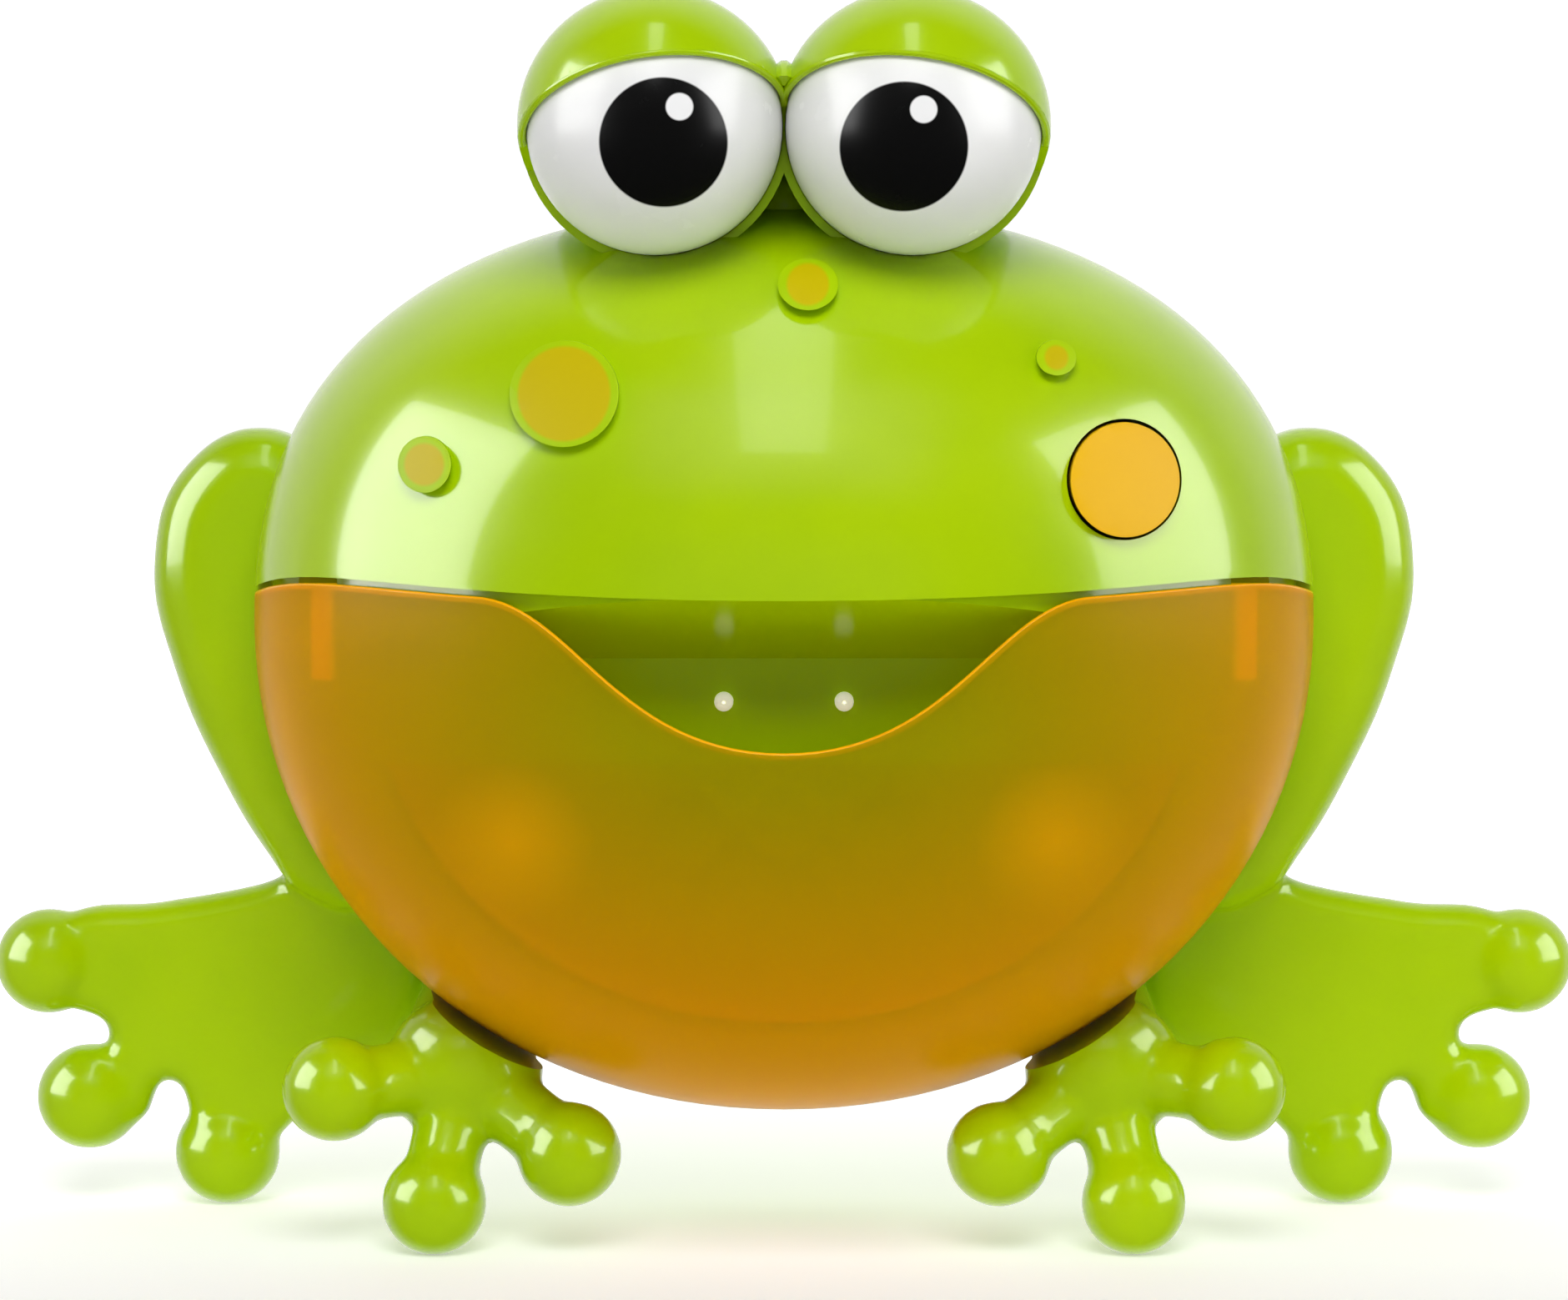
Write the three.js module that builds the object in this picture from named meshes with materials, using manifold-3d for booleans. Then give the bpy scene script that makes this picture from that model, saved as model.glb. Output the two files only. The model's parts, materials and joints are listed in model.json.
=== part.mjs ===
// Bubble frog bath toy: a battery toy that clings to the bath wall by suction cups and blows bubbles
// out of its mouth. Millimetres, +Z up, floor at z = 0, the frog faces -Y and its back is at +Y.
// Left and right are as seen from the front, so right is +X.
import * as THREE from "three";
import { mergeVertices } from "three/addons/utils/BufferGeometryUtils.js";
import Module from "manifold-3d";

const wasm = await Module();
wasm.setup();

// Body: an egg split at a parting plane. Rise and drop are heights above and below its widest level
const bodyHalfWidth = 80;
const bodyRise = 62.5;
const bodyDrop = 74.4;
const chinHeight = 19;
const domeDepth = 60;
const noseCut = 0.65; // the dome's tip falls in the mouth, so the body's front is this far behind it
const rearDepth = 31;
const rearRounding = 1;
const crownExponent = 2.3;
const bellyExponent = 2.05;
const domeExponent = 2.2;
const rearExponent = 6;
const shellWall = 2.2;
const seamGap = 0.3;
const eggAround = 32;
const eggDeep = 12;

// Eyes: lids are part of the shell, the white domes sit in them
const eyeRadius = 18.4;
const eyeApart = 0.4;
const eyeLift = 10.5; // above the crown
const eyeForward = 34; // in front of the parting plane
const eyeWall = 2;
const lidWall = 1.9;
const lidLift = 0.5;
const lidPitch = THREE.MathUtils.degToRad(28.7);
const lidRoll = THREE.MathUtils.degToRad(8.7);
const eyeSeatSetback = 2;
const eyeSeatWidth = 2.5;
const eyeSeatLip = 3;
const eyeRearDepth = 16;
const eyeSides = 20;

// Warts on the crown: place in the front view and half width and height
const wartHeight = 1.3;
const cheekWart = { x: -31, rise: 35, width: 7.8, height: 7.4 };
const sideWart = { x: -51, rise: 24.9, width: 3.95, height: 3.95 };
const browWart = { x: 3.4, rise: 50.4, width: 4.3, height: 3.7 };
const smallWart = { x: 38.7, rise: 40, width: 2.9, height: 2.5 };

// Mouth: lip of the shell, tray rim with its smile, back wall and sloping roof of the liner
const lipRise = 6.4;
const rimGap = 1.2;
const smileHalfWidth = 44;
const smileDip = 20.5;
const roofDrop = 9.9;
const roofRun = 21.5;
const linerWall = 2;
const linerTongue = 3.2;
const trayWall = 2;
const trayFit = 0.5;
const trayBackSetback = 3; // its back wall stands off the liner's
const trayBackDrop = 3.1; // below the bottom of the smile
const ribInset = 13.3; // from the body's side
const ribWidth = 3.2;
const ribHeight = 12;
const ribForward = 5; // in front of the liner's back wall
const ribBackward = 9; // behind it

// Button on the right cheek
const buttonInset = 31.7; // from the body's side
const buttonRise = 22.8;
const buttonRadius = 8;
const buttonProud = 1.6;
const buttonTravel = 2;
const buttonClearance = 0.4;
const collarDepth = 33.3; // from the nose back to the end of the collar
const collarWall = 2;
const collarWeb = 1.5;
const stemRadius = 2.6;
const stemClearance = 0.5;
const barbRadius = 3.9;
const barbThickness = 1;
const springRoom = 8;
const springRadius = 5.4;
const springWire = 0.7;
const springTurns = 4;

// Circuit board behind the button: places on it are from its lower left corner
const boardWidth = 29;
const boardHeight = 22;
const boardThickness = 1.6;
const boardLeft = 16.3; // from the button's axis
const boardBelow = 11.2; // from the button's axis
const boardPostRadius = 2.2;
const upperBoardPost = { x: 4, z: 17 };
const lowerBoardPost = { x: 26, z: 4 };
const chip = { x: 3, z: 3, width: 8, height: 6, thickness: 2 };
const capacitor = { x: 22, z: 16, radius: 2.5, length: 6 };
const switchSize = 6;
const switchHeight = 3.4;
const switchGap = 0.05;
const plungerHeight = 1;
const plungerRadius = 1.7;

// Legs: toes are balls, the lowest ones stand on small flats. Across is from the body's side
const legGap = 0.35;
const toeFlat = 0.5;
const toeRadius = 8.1;
const hindToeSetback = 20; // in front of the bath wall
const upperToe = { across: 35.4, z: 38 };
const outerToe = { across: 29.2, z: 16.6 };
const innerToeAcross = 7.6;
const toeNeck = 5.6;
const webShare = 0.62; // how far the web's curve is drawn from the toes to the foot's middle
const footMiddle = { across: 8, z: 32 };
const footThickness = 9;
const footRound = 3;
const ankleInner = { across: -22.5, z: 36 };
const ankleTop = { across: -16, z: 54 };
const ankleOuter = { across: -2, z: 56 };
const instep = { across: 8, z: 48.7 };
const heel = { across: -15, z: 19 };
const haunchThickness = 20;
const haunchRound = 7;
const haunchSetback = 7; // behind the parting plane
const haunchInset = 18;
const haunchTop = 28.4;
const haunchReach = 17.6;
const haunchDrop = 46;
const calf = { across: 0.4, drop: 37.6 };
const shin = { across: -4.5, drop: 44 };
const haunchMiddle = { across: -4, drop: 9.4 };
const hindPegRise = 3.6;
const hindPegInside = 8;
const hindPegOutside = 7;
const pegRadius = 3.6;
const pegClearance = 0.3;
const frontToeRadius = 7.75;
const frontToeSetback = 60; // in front of the bath wall
const frontOuterToe = { x: 66.9, z: 24.5 };
const frontLowToeX = 52.1;
const frontInnerToe = { x: 32, z: 14.7 };
const frontNeckRadius = 5.4;
const palm = { x: 48.2, z: 26, halfWidth: 12, halfDepth: 9.5, halfHeight: 11, forward: 10.7 };
const thighRadius = 10.5;
const hip = { x: 47, z: 33, radius: 9.5, backward: 11.3 };
const frontPegDrop = 7;
const frontPegLength = 18;

// Back: suction cups, battery door, cells and speaker
const cupDepth = 9;
const cupRadius = 17;
const cupNeckRadius = 2.9;
const cupNeckClearance = 0.3;
const cupFlange = 4;
const cupBarb = 1.6;
const cupBarbLength = 2.4;
const cupLip = 0.7;
const cupLipWidth = 1.6;
const cupHollow = 4.8;
const upperCup = { x: 37, rise: 32.6 };
const lowerCupDrop = 25.4;
const cupDoorGap = 1; // lower cups stand this clear of the door's window
const cellRadius = 7.25;
const cellLength = 50.5;
const cellNubRadius = 2.75;
const cellNubLength = 1.2;
const cellPitch = 15.1;
const cellDrop = 20.4;
const cellSpringLength = 5.6;
const cellSpringRadius = 3.4;
const cellSpringWire = 0.8;
const cellSpringTurns = 3;
const plateThickness = 0.5;
const plateHalf = 5;
const boxWall = 1.5;
const boxClearance = 0.4;
const boxFlange = 4;
const boxFlangeThickness = 1.3;
const doorGap = 0.3;
const doorTab = 6.6;
const doorScrewInset = 3.8;
const doorScrewSink = 0.2;
const doorScrewLength = 8.5;
const doorBossRadius = 3.2;
const doorBossLength = 9;
const speakerRise = 27.6;
const speakerRadius = 14;
const speakerDepth = 9;
const speakerRim = 2.4;
const speakerMagnetRadius = 8;
const speakerMagnetDepth = 4;
const speakerConeRadius = 4;
const speakerConeDepth = 3;
const grilleRadius = 1.3;
const grilleReach = 5.5;

// Drive: motor on top, one compound gear, output gear on the wand's shaft
const gearModule = 0.8;
const pinionTeeth = 8;
const gearTeeth = 32;
const wandDrop = 26.4;
const motorRadius = 10;
const motorHeight = 15.4;
const motorLength = 24;
const motorGap = 0.4; // to the battery box
const motorBearing = 1;
const motorBearingRadius = 3;
const motorNose = 1.4;
const motorShaftRadius = 1;
const motorShaftTail = 1.6;
const runningGap = 0.06;
const gearWidth = 2.4;
const gearPlateGap = 0.4;
const gearSideGap = 0.6;
const pinionWidth = 4;
const motorPinionWidth = 3;
const pinionOverhang = 0.4;
const gearPinRadius = 1.2;
const gearPinProud = 0.8;
const outputShaftRadius = 1.5;
const outputShaftProud = 1.5;
const frameThickness = 1.5;
const frameHalfWidth = 20;
const frameBelow = 6;
const frameStep = 2;
const motorPlateHalfWidth = 13;
const motorPlateTop = 9;
const frameWeb = 1.6;
const framePostX = 17;
const framePostDrop = 9; // below the wand's axis
const framePostRadius = 3;
const impellerRadius = 15;
const impellerBlades = 8;
const impellerGap = 0.8;
const impellerDisc = 1.2;
const impellerHubRadius = 3;
const impellerHubLength = 5;
const bladeInnerRadius = 5;
const bladeThickness = 1;
const blowerInnerRadius = 19.8;
const blowerWall = 1.3;
const blowerDepth = 8.2;
const coverThickness = 1.2;
const coverGap = 1.3; // to the motor's pinion
const airInletRadius = 6;
const standoffLength = 3;
const standoffRadius = 2.2;
const standoffX = 15;
const standoffDrop = 12.5; // below the motor's axis
const jetX = 8.7;
const jetDrop = 15.35; // below the motor's axis
const jetRadius = 1.35;
const jetBore = 0.7;
const jetProud = 2;
const jetFlange = 0.95;
const jetFlangeThickness = 0.9;
const jetClearance = 0.25;
const jetChamfer = 0.4;
const wandHubRadius = 5;
const wandArmWidth = 2.8;
const wandArmThickness = 2.2;
const wandHoopCentre = 14;
const wandHoopRadius = 5.6;
const wandHoopWire = 1.4;
const wandThickness = 3;
const journalRadius = 3.8;
const journalGap = 1.3; // to the liner's back wall
const clipRim = 1.8;
const clipThickness = 0.9;
const dogReach = 3.2; // in front of the liner's back wall
const dogRoot = 0.7;
const dogThickness = 2;
const dogWidth = 5.6;
const dogClearance = 0.25;
const sealRadius = 4.2;
const sealClearance = 0.2;
const sealFlange = 1.6;
const sealFlangeThickness = 1.2;

// Screws
const caseScrew = { head: 2.7, shank: 1.4, headHeight: 2, length: 18 };
const smallScrew = { head: 2.3, shank: 1.1, headHeight: 1.4, length: 12 };
const screwClearance = 0.3;
const screwChamfer = 0.4;
const slotDepth = 0.5;
const slotWidth = 0.6;
const pilotClearance = 0.1;
const pilotRun = 2; // past the screw's tip
const bossWall = 2.6;
const bossRun = 8; // past the pilot hole
const postWall = 1.4;
const screwSeat = 4; // behind the parting plane
const upperScrew = { inset: 9.5, rise: 14.6 };
const lowerScrew = { x: 38, z: 16.5 }; // z above the chin

// Small steps that keep cuts and joins from ending flush
const overrun = 1;
const bite = 0.2;
const far = 300;

// Depths, worked out from the back forward: cells, motor, gears and blower set where the mouth ends
const totalDepth = domeDepth - noseCut + rearDepth + cupDepth;
const noseY = -totalDepth / 2 - noseCut;
const partingY = noseY + domeDepth;
const backY = partingY + rearDepth;
const wallY = backY + cupDepth;
const backInnerY = backY - shellWall;
const boxFlangeY = backInnerY - seamGap;
const bayFloorY = boxFlangeY - 2 * (cellRadius + boxClearance);
const cellY = bayFloorY + boxClearance + cellRadius;
const motorBackY = bayFloorY - boxWall - motorGap - motorBearing;
const motorFrontY = motorBackY - motorLength;
const plateFrontY = motorFrontY - seamGap - frameThickness;
const bigGearY = plateFrontY - gearPlateGap - gearWidth;
const smallPinionY = bigGearY + gearWidth;
const outputGearY = smallPinionY + gearSideGap;
const frameBackY = smallPinionY + pinionWidth + gearSideGap + frameThickness;
const motorPinionY = bigGearY - pinionOverhang;
const coverFrontY = motorPinionY - coverGap - coverThickness;
const blowerRimY = coverFrontY - seamGap;
const blowerFrontY = blowerRimY - blowerDepth;
const wallInnerY = blowerFrontY - seamGap - standoffLength;
const mouthWallY = wallInnerY - linerWall;
const trayBackFrontY = mouthWallY - trayBackSetback - trayWall;
const eyeY = partingY - eyeForward;
const collarBottomY = noseY + collarDepth;
const webFrontY = collarBottomY - collarWeb;
const capBackY = webFrontY - springRoom;
const stemEndY = collarBottomY + seamGap + barbThickness;
const switchTopY = stemEndY + buttonTravel + seamGap;
const boardFaceY = switchTopY + plungerHeight + switchHeight;
const boardBackY = boardFaceY + boardThickness;
const hindToeY = wallY - hindToeSetback;
const frontToeY = wallY - frontToeSetback;
const haunchFrontY = partingY + haunchSetback;
const screwSeatY = partingY + screwSeat;
const caseScrewHeadY = screwSeatY + seamGap + caseScrew.headHeight;
const pilotEndY = caseScrewHeadY - caseScrew.length - pilotRun;

// Heights and places across
const equatorZ = chinHeight + bodyDrop;
const eyeZ = equatorZ + bodyRise + eyeLift;
const eyeX = eyeRadius + eyeApart / 2;
const lidRadius = eyeRadius + lidWall;
const lipZ = equatorZ + lipRise;
const rimZ = lipZ - rimGap;
const smileBottomZ = rimZ - smileDip;
const creaseZ = lipZ - roofDrop;
const ribX = bodyHalfWidth - ribInset;
const linerInset = trayWall + trayFit;
const buttonX = bodyHalfWidth - buttonInset;
const buttonZ = equatorZ + buttonRise;
const boardX = buttonX - boardLeft;
const boardZ = buttonZ - boardBelow;
const gearDistance = (gearModule * (pinionTeeth + gearTeeth)) / 2;
const wandZ = equatorZ - wandDrop;
const reductionZ = wandZ + gearDistance;
const motorZ = reductionZ + gearDistance;
const jetZ = motorZ - jetDrop;
const framePostZ = wandZ - framePostDrop;
const speakerZ = equatorZ + speakerRise;
const cellZ = equatorZ - cellDrop;
const endRoom = cellSpringLength + 2 * plateThickness + 4 * boxClearance;
const bayHalfLength = (cellLength + endRoom) / 2;
const bayHalfHeight = cellPitch + cellRadius + boxClearance;
const windowHalfWidth = bayHalfLength + boxWall + doorGap;
const windowLowZ = cellZ - bayHalfHeight - boxWall;
const windowHighZ = cellZ + bayHalfHeight + boxWall + doorTab;
const doorScrewZ = windowHighZ - doorScrewInset;
const sides = [-1, 1];
const warts = [cheekWart, sideWart, browWart, smallWart];
const boardPosts = [upperBoardPost, lowerBoardPost];
const upperScrewPlace = { x: bodyHalfWidth - upperScrew.inset, z: equatorZ + upperScrew.rise };
const lowerScrewPlace = { x: lowerScrew.x, z: chinHeight + lowerScrew.z };
const lowerCup = { x: windowHalfWidth + cupDoorGap + cupRadius, z: equatorZ - lowerCupDrop };
const bothSides = (place) => sides.map((side) => ({ ...place, x: side * place.x }));
const screwPlaces = [upperScrewPlace, lowerScrewPlace].flatMap(bothSides);
const cupPlaces = [{ x: upperCup.x, z: equatorZ + upperCup.rise }, lowerCup].flatMap(bothSides);

// Solids: closed geometry in, geometry out
function solid(geometry) {
  const bare = new THREE.BufferGeometry();
  bare.setAttribute("position", geometry.getAttribute("position").clone());
  if (geometry.index) bare.setIndex(geometry.index.clone());
  const merged = mergeVertices(bare, 1e-4);
  const points = merged.getAttribute("position");
  const triangles = [];
  for (let i = 0; i < merged.index.count; i += 3) {
    const [a, b, c] = [merged.index.getX(i), merged.index.getX(i + 1), merged.index.getX(i + 2)];
    if (a !== b && b !== c && a !== c) triangles.push([a, b, c]);
  }
  const corner = (i) => new THREE.Vector3().fromBufferAttribute(points, i);
  let volume = 0;
  for (const [a, b, c] of triangles) volume += corner(a).dot(corner(b).cross(corner(c)));
  const order = volume < 0 ? ([a, b, c]) => [a, c, b] : (triangle) => triangle;
  const vertProperties = new Float32Array(points.array);
  const triVerts = new Uint32Array(triangles.flatMap(order));
  return new wasm.Manifold(new wasm.Mesh({ numProp: 3, vertProperties, triVerts }));
}

function geometryOf(manifold) {
  const mesh = manifold.getMesh();
  const geometry = new THREE.BufferGeometry();
  geometry.setAttribute("position", new THREE.BufferAttribute(mesh.vertProperties, 3));
  geometry.setIndex(new THREE.BufferAttribute(mesh.triVerts, 1));
  geometry.computeVertexNormals();
  return geometry;
}

function join(...solids) {
  return solids.reduce((all, next) => all.add(next));
}

function cut(base, ...tools) {
  return tools.reduce((left, tool) => left.subtract(tool), base);
}

function common(...solids) {
  return solids.reduce((all, next) => all.intersect(next));
}

function boxBetween(low, high) {
  const size = high.map((value, axis) => value - low[axis]);
  const centre = high.map((value, axis) => (value + low[axis]) / 2);
  return solid(new THREE.BoxGeometry(...size).translate(...centre));
}

// The same, given for the right side and mirrored for the left
function sideBox(side, low, high) {
  if (side > 0) return boxBetween(low, high);
  return boxBetween([-high[0], low[1], low[2]], [-low[0], high[1], high[2]]);
}

// Half spaces for trimming
const inFrontOf = (y) => boxBetween([-far, -far, -far], [far, y, far]);
const behind = (y) => boxBetween([-far, y, -far], [far, far, far]);
const above = (z) => boxBetween([-far, -far, z], [far, far, far]);
const below = (z) => boxBetween([-far, -far, -far], [far, far, z]);

// A round bar along Y
function barY(radius, x, z, startY, endY, facets = 20) {
  const bar = new THREE.CylinderGeometry(radius, radius, endY - startY, facets);
  return solid(bar.translate(x, (startY + endY) / 2, z));
}

// A round hole along Y, right through everything
function boreY(radius, x, z, facets = 16) {
  return barY(radius, x, z, -far, far, facets);
}

// A turned piece on an axis along Y: profile points are [radius, y]
function turned(profile, x, z, facets = 24) {
  const points = profile.map(([radius, y]) => new THREE.Vector2(radius, y));
  return solid(new THREE.LatheGeometry(points, facets).translate(x, 0, z));
}

// A round bar between two points, thicker at one end if asked
function bar(from, to, startRadius, endRadius = startRadius, facets = 12) {
  const start = new THREE.Vector3(...from);
  const along = new THREE.Vector3(...to).sub(start);
  const geometry = new THREE.CylinderGeometry(endRadius, startRadius, along.length(), facets);
  geometry.translate(0, along.length() / 2, 0);
  const up = new THREE.Vector3(0, 1, 0);
  geometry.applyQuaternion(new THREE.Quaternion().setFromUnitVectors(up, along.normalize()));
  return solid(geometry.translate(...from));
}

function ball(radius, centre, facets = 12, rings = 7) {
  return solid(new THREE.SphereGeometry(radius, facets, rings).translate(...centre));
}

// A flat outline in the front view, extruded along Y
function slab(shape, frontY, thickness, z = 0) {
  const options = { depth: thickness, bevelEnabled: false, curveSegments: 8 };
  const geometry = new THREE.ExtrudeGeometry(shape, options);
  return solid(geometry.rotateX(Math.PI / 2).translate(0, frontY + thickness, z));
}

// The same with its edges rounded towards a middle point that sees the whole outline
function pillow(shape, middle, frontY, thickness, round) {
  const outline = shape.getPoints(4);
  if (outline[0].distanceTo(outline[outline.length - 1]) < 1e-6) outline.pop();
  const steps = 3;
  const half = Array.from({ length: steps + 1 }, (_, i) => {
    const angle = (Math.PI * i) / (2 * steps);
    return { inset: round * (1 - Math.sin(angle)), depth: round * (1 - Math.cos(angle)) };
  });
  const front = half.map(({ inset, depth }) => ({ inset, y: frontY + depth }));
  const back = half.map(({ inset, depth }) => ({ inset, y: frontY + thickness - depth })).reverse();
  const rings = [...front, ...back].map(({ inset, y }) =>
    outline.map((point) => {
      const arm = point.clone().sub(middle);
      arm.setLength(arm.length() - Math.min(inset, arm.length() / 2));
      return [middle.x + arm.x, y, middle.y + arm.y];
    }),
  );
  const count = outline.length;
  const hubs = [frontY, frontY + thickness].map((y) => [middle.x, y, middle.y]);
  const vertices = [...rings.flat(), ...hubs];
  const [frontHub, backHub] = [vertices.length - 2, vertices.length - 1];
  const lastRing = (rings.length - 1) * count;
  const faces = [];
  for (let i = 0; i < count; i += 1) {
    const next = (i + 1) % count;
    faces.push(frontHub, next, i, backHub, lastRing + i, lastRing + next);
    for (let ring = 0; ring < lastRing; ring += count) {
      faces.push(ring + i, ring + next, ring + count + i);
      faces.push(ring + next, ring + count + next, ring + count + i);
    }
  }
  const geometry = new THREE.BufferGeometry();
  geometry.setAttribute("position", new THREE.Float32BufferAttribute(vertices.flat(), 3));
  geometry.setIndex(faces);
  return solid(geometry);
}

// The body's egg, drawn in by an inset: a ball whose outline and depth follow their own exponents
const signedPower = (value, power) => Math.sign(value) * Math.abs(value) ** power;

function egg(inset) {
  const geometry = new THREE.SphereGeometry(1, eggAround, eggDeep);
  const points = geometry.getAttribute("position");
  for (let i = 0; i < points.count; i += 1) {
    const [ux, uy, uz] = [points.getX(i), points.getY(i), points.getZ(i)];
    const spread = Math.hypot(ux, uz);
    const depthExponent = uy < 0 ? domeExponent : rearExponent;
    const depth = uy < 0 ? domeDepth - inset : rearDepth + rearRounding - inset;
    const outlineExponent = uz > 0 ? crownExponent : bellyExponent;
    const height = uz > 0 ? bodyRise - inset : bodyDrop - inset;
    const reach = spread ** (2 / depthExponent);
    const across = spread > 1e-9 ? signedPower(ux / spread, 2 / outlineExponent) : 0;
    const upward = spread > 1e-9 ? signedPower(uz / spread, 2 / outlineExponent) : 0;
    points.setXYZ(
      i,
      (bodyHalfWidth - inset) * reach * across,
      partingY + depth * signedPower(uy, 2 / depthExponent),
      equatorZ + height * reach * upward,
    );
  }
  return solid(geometry);
}

// Everything the tray sweeps through as it is pulled forward: the belly's outline with a margin
function traySweep() {
  const corners = Array.from({ length: 28 }, (_, i) => {
    const angle = (2 * Math.PI * i) / 28;
    const across = signedPower(Math.cos(angle), 2 / bellyExponent);
    const upward = signedPower(Math.sin(angle), 2 / bellyExponent);
    return new THREE.Vector2((bodyHalfWidth + legGap) * across, equatorZ + (bodyDrop + legGap) * upward);
  });
  return slab(new THREE.Shape(corners), noseY - domeDepth, 2 * domeDepth + seamGap);
}

// Arc points [radius, y] of a lathe profile, from the axis out or back
function arc(centreY, radius, depth, fromAngle, toAngle, steps) {
  return Array.from({ length: steps + 1 }, (_, i) => {
    const angle = fromAngle + ((toAngle - fromAngle) * i) / steps;
    return [Math.max(0, radius * Math.sin(angle)), centreY - depth * Math.cos(angle)];
  });
}

const quarter = Math.PI / 2;

// Eye bump: a ball in front, a tube back to the parting plane, a rounded end behind
function eyeBump(side) {
  const profile = [
    ...arc(eyeY, lidRadius, lidRadius, 0, quarter, 5),
    ...arc(partingY, lidRadius, eyeRearDepth, quarter, 2 * quarter, 3),
  ];
  return turned(profile, side * eyeX, eyeZ, eyeSides);
}

function eyeHollow(side) {
  const socket = eyeRadius + seamGap;
  const inner = lidRadius - shellWall;
  const seatY = eyeY + eyeSeatSetback;
  const socketEnd = quarter + Math.asin(eyeSeatSetback / socket);
  const profile = [
    ...arc(eyeY, socket, socket, 0, socketEnd, 5),
    [eyeRadius - eyeSeatLip, seatY],
    [eyeRadius - eyeSeatLip, seatY + eyeSeatWidth],
    [inner, seatY + eyeSeatWidth],
    ...arc(partingY, inner, eyeRearDepth - shellWall, quarter, 2 * quarter, 3),
  ];
  return turned(profile, side * eyeX, eyeZ, eyeSides);
}

// The part of the bump in front of the seat and below the lid's edge
function eyeOpening(side) {
  const lower = new THREE.BoxGeometry(far, far, far).translate(0, 0, -far / 2);
  lower.rotateX(-lidPitch).rotateY(side * lidRoll);
  lower.translate(side * eyeX, eyeY, eyeZ + lidLift);
  const reach = ball(lidRadius + overrun, [side * eyeX, eyeY, eyeZ], 20, 10);
  return common(solid(lower), reach, inFrontOf(eyeY + eyeSeatSetback));
}

function eyeDome(side) {
  const rimY = eyeSeatSetback - seamGap;
  const inner = eyeRadius - eyeWall;
  const outerEnd = quarter + Math.asin(rimY / eyeRadius);
  const innerEnd = quarter + Math.asin(rimY / inner);
  const profile = [
    ...arc(eyeY, eyeRadius, eyeRadius, 0, outerEnd, 7),
    ...arc(eyeY, inner, inner, 0, innerEnd, 4).reverse(),
  ];
  return turned(profile, side * eyeX, eyeZ, eyeSides);
}

// Shells
const outerForm = join(egg(0), ...sides.map(eyeBump));
const hollowForm = join(egg(shellWall), ...sides.map(eyeHollow));
const shellMiddle = egg(shellWall / 2);
const collarInner = buttonRadius + buttonClearance;

function wart({ x, rise, width, height }) {
  const disc = new THREE.CylinderGeometry(1, 1, domeDepth, 16).scale(width, 1, height);
  const plug = solid(disc.translate(x, noseY + domeDepth / 2 - wartHeight, equatorZ + rise));
  return cut(common(plug, egg(-wartHeight)), shellMiddle);
}

// A boss for a case screw, from inside a skin back to the parting plane, and its pilot hole
function screwBoss({ x, z }, skin) {
  const radius = caseScrew.shank + bossWall;
  return common(barY(radius, x, z, pilotEndY - bossRun, partingY - seamGap, 14), skin);
}

function screwPilot({ x, z }) {
  return barY(caseScrew.shank + pilotClearance, x, z, pilotEndY, partingY + overrun, 12);
}

function frontShell() {
  const skin = common(cut(outerForm, hollowForm), inFrontOf(partingY - seamGap), above(lipZ));
  const openings = sides.map((side) => cut(eyeOpening(side), egg(0)));
  const collar = barY(collarInner + collarWall, buttonX, buttonZ, noseY, collarBottomY);
  const posts = boardPosts.map(({ x, z }) =>
    barY(boardPostRadius, boardX + x, boardZ + z, noseY, boardFaceY - seamGap, 10),
  );
  const inside = [collar, ...posts].map((piece) => common(piece, shellMiddle));
  const bosses = bothSides(upperScrewPlace).map((place) => screwBoss(place, shellMiddle));
  const pilots = bothSides(upperScrewPlace).map(screwPilot);
  const buttonBore = barY(collarInner, buttonX, buttonZ, noseY - domeDepth, webFrontY);
  const stemRoom = stemRadius + stemClearance;
  const stemBore = barY(stemRoom, buttonX, buttonZ, webFrontY - overrun, collarBottomY + overrun);
  const built = join(cut(skin, ...openings), ...warts.map(wart), ...inside, ...bosses);
  return cut(built, buttonBore, stemBore, ...pilots);
}

// Tubular posts in the rear shell take the case screws
const postHoleRadius = caseScrew.head + screwClearance;

function grilleHole(_, i) {
  const angle = (i * Math.PI) / 3;
  const reach = i === 6 ? 0 : grilleReach;
  const [x, z] = [reach * Math.cos(angle), speakerZ + reach * Math.sin(angle)];
  return barY(grilleRadius, x, z, backInnerY - overrun, backY + overrun, 6);
}

function rearShell() {
  const hollow = common(hollowForm, inFrontOf(backInnerY));
  const skin = common(cut(outerForm, hollow), behind(partingY), inFrontOf(backY));
  const posts = screwPlaces.map(({ x, z }) =>
    common(barY(postHoleRadius + postWall, x, z, partingY, backY, 12), shellMiddle),
  );
  const wells = screwPlaces.map(({ x, z }) =>
    barY(postHoleRadius, x, z, screwSeatY, backY + overrun, 12),
  );
  const shanks = screwPlaces.map(({ x, z }) =>
    barY(caseScrew.shank + screwClearance, x, z, partingY - overrun, screwSeatY + overrun, 12),
  );
  const window = boxBetween(
    [-windowHalfWidth, backInnerY - overrun, windowLowZ - doorGap],
    [windowHalfWidth, backY + overrun, windowHighZ + doorGap],
  );
  const cupHoles = cupPlaces.map(({ x, z }) =>
    barY(cupNeckRadius + cupNeckClearance, x, z, backInnerY - overrun, backY + overrun, 12),
  );
  const grille = Array.from({ length: 7 }, grilleHole);
  const pegHoles = sides.flatMap((side) => [hindPeg(side, pegClearance), frontPeg(side, pegClearance)]);
  return cut(join(skin, ...posts), ...wells, ...shanks, window, ...cupHoles, ...grille, ...pegHoles);
}

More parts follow.
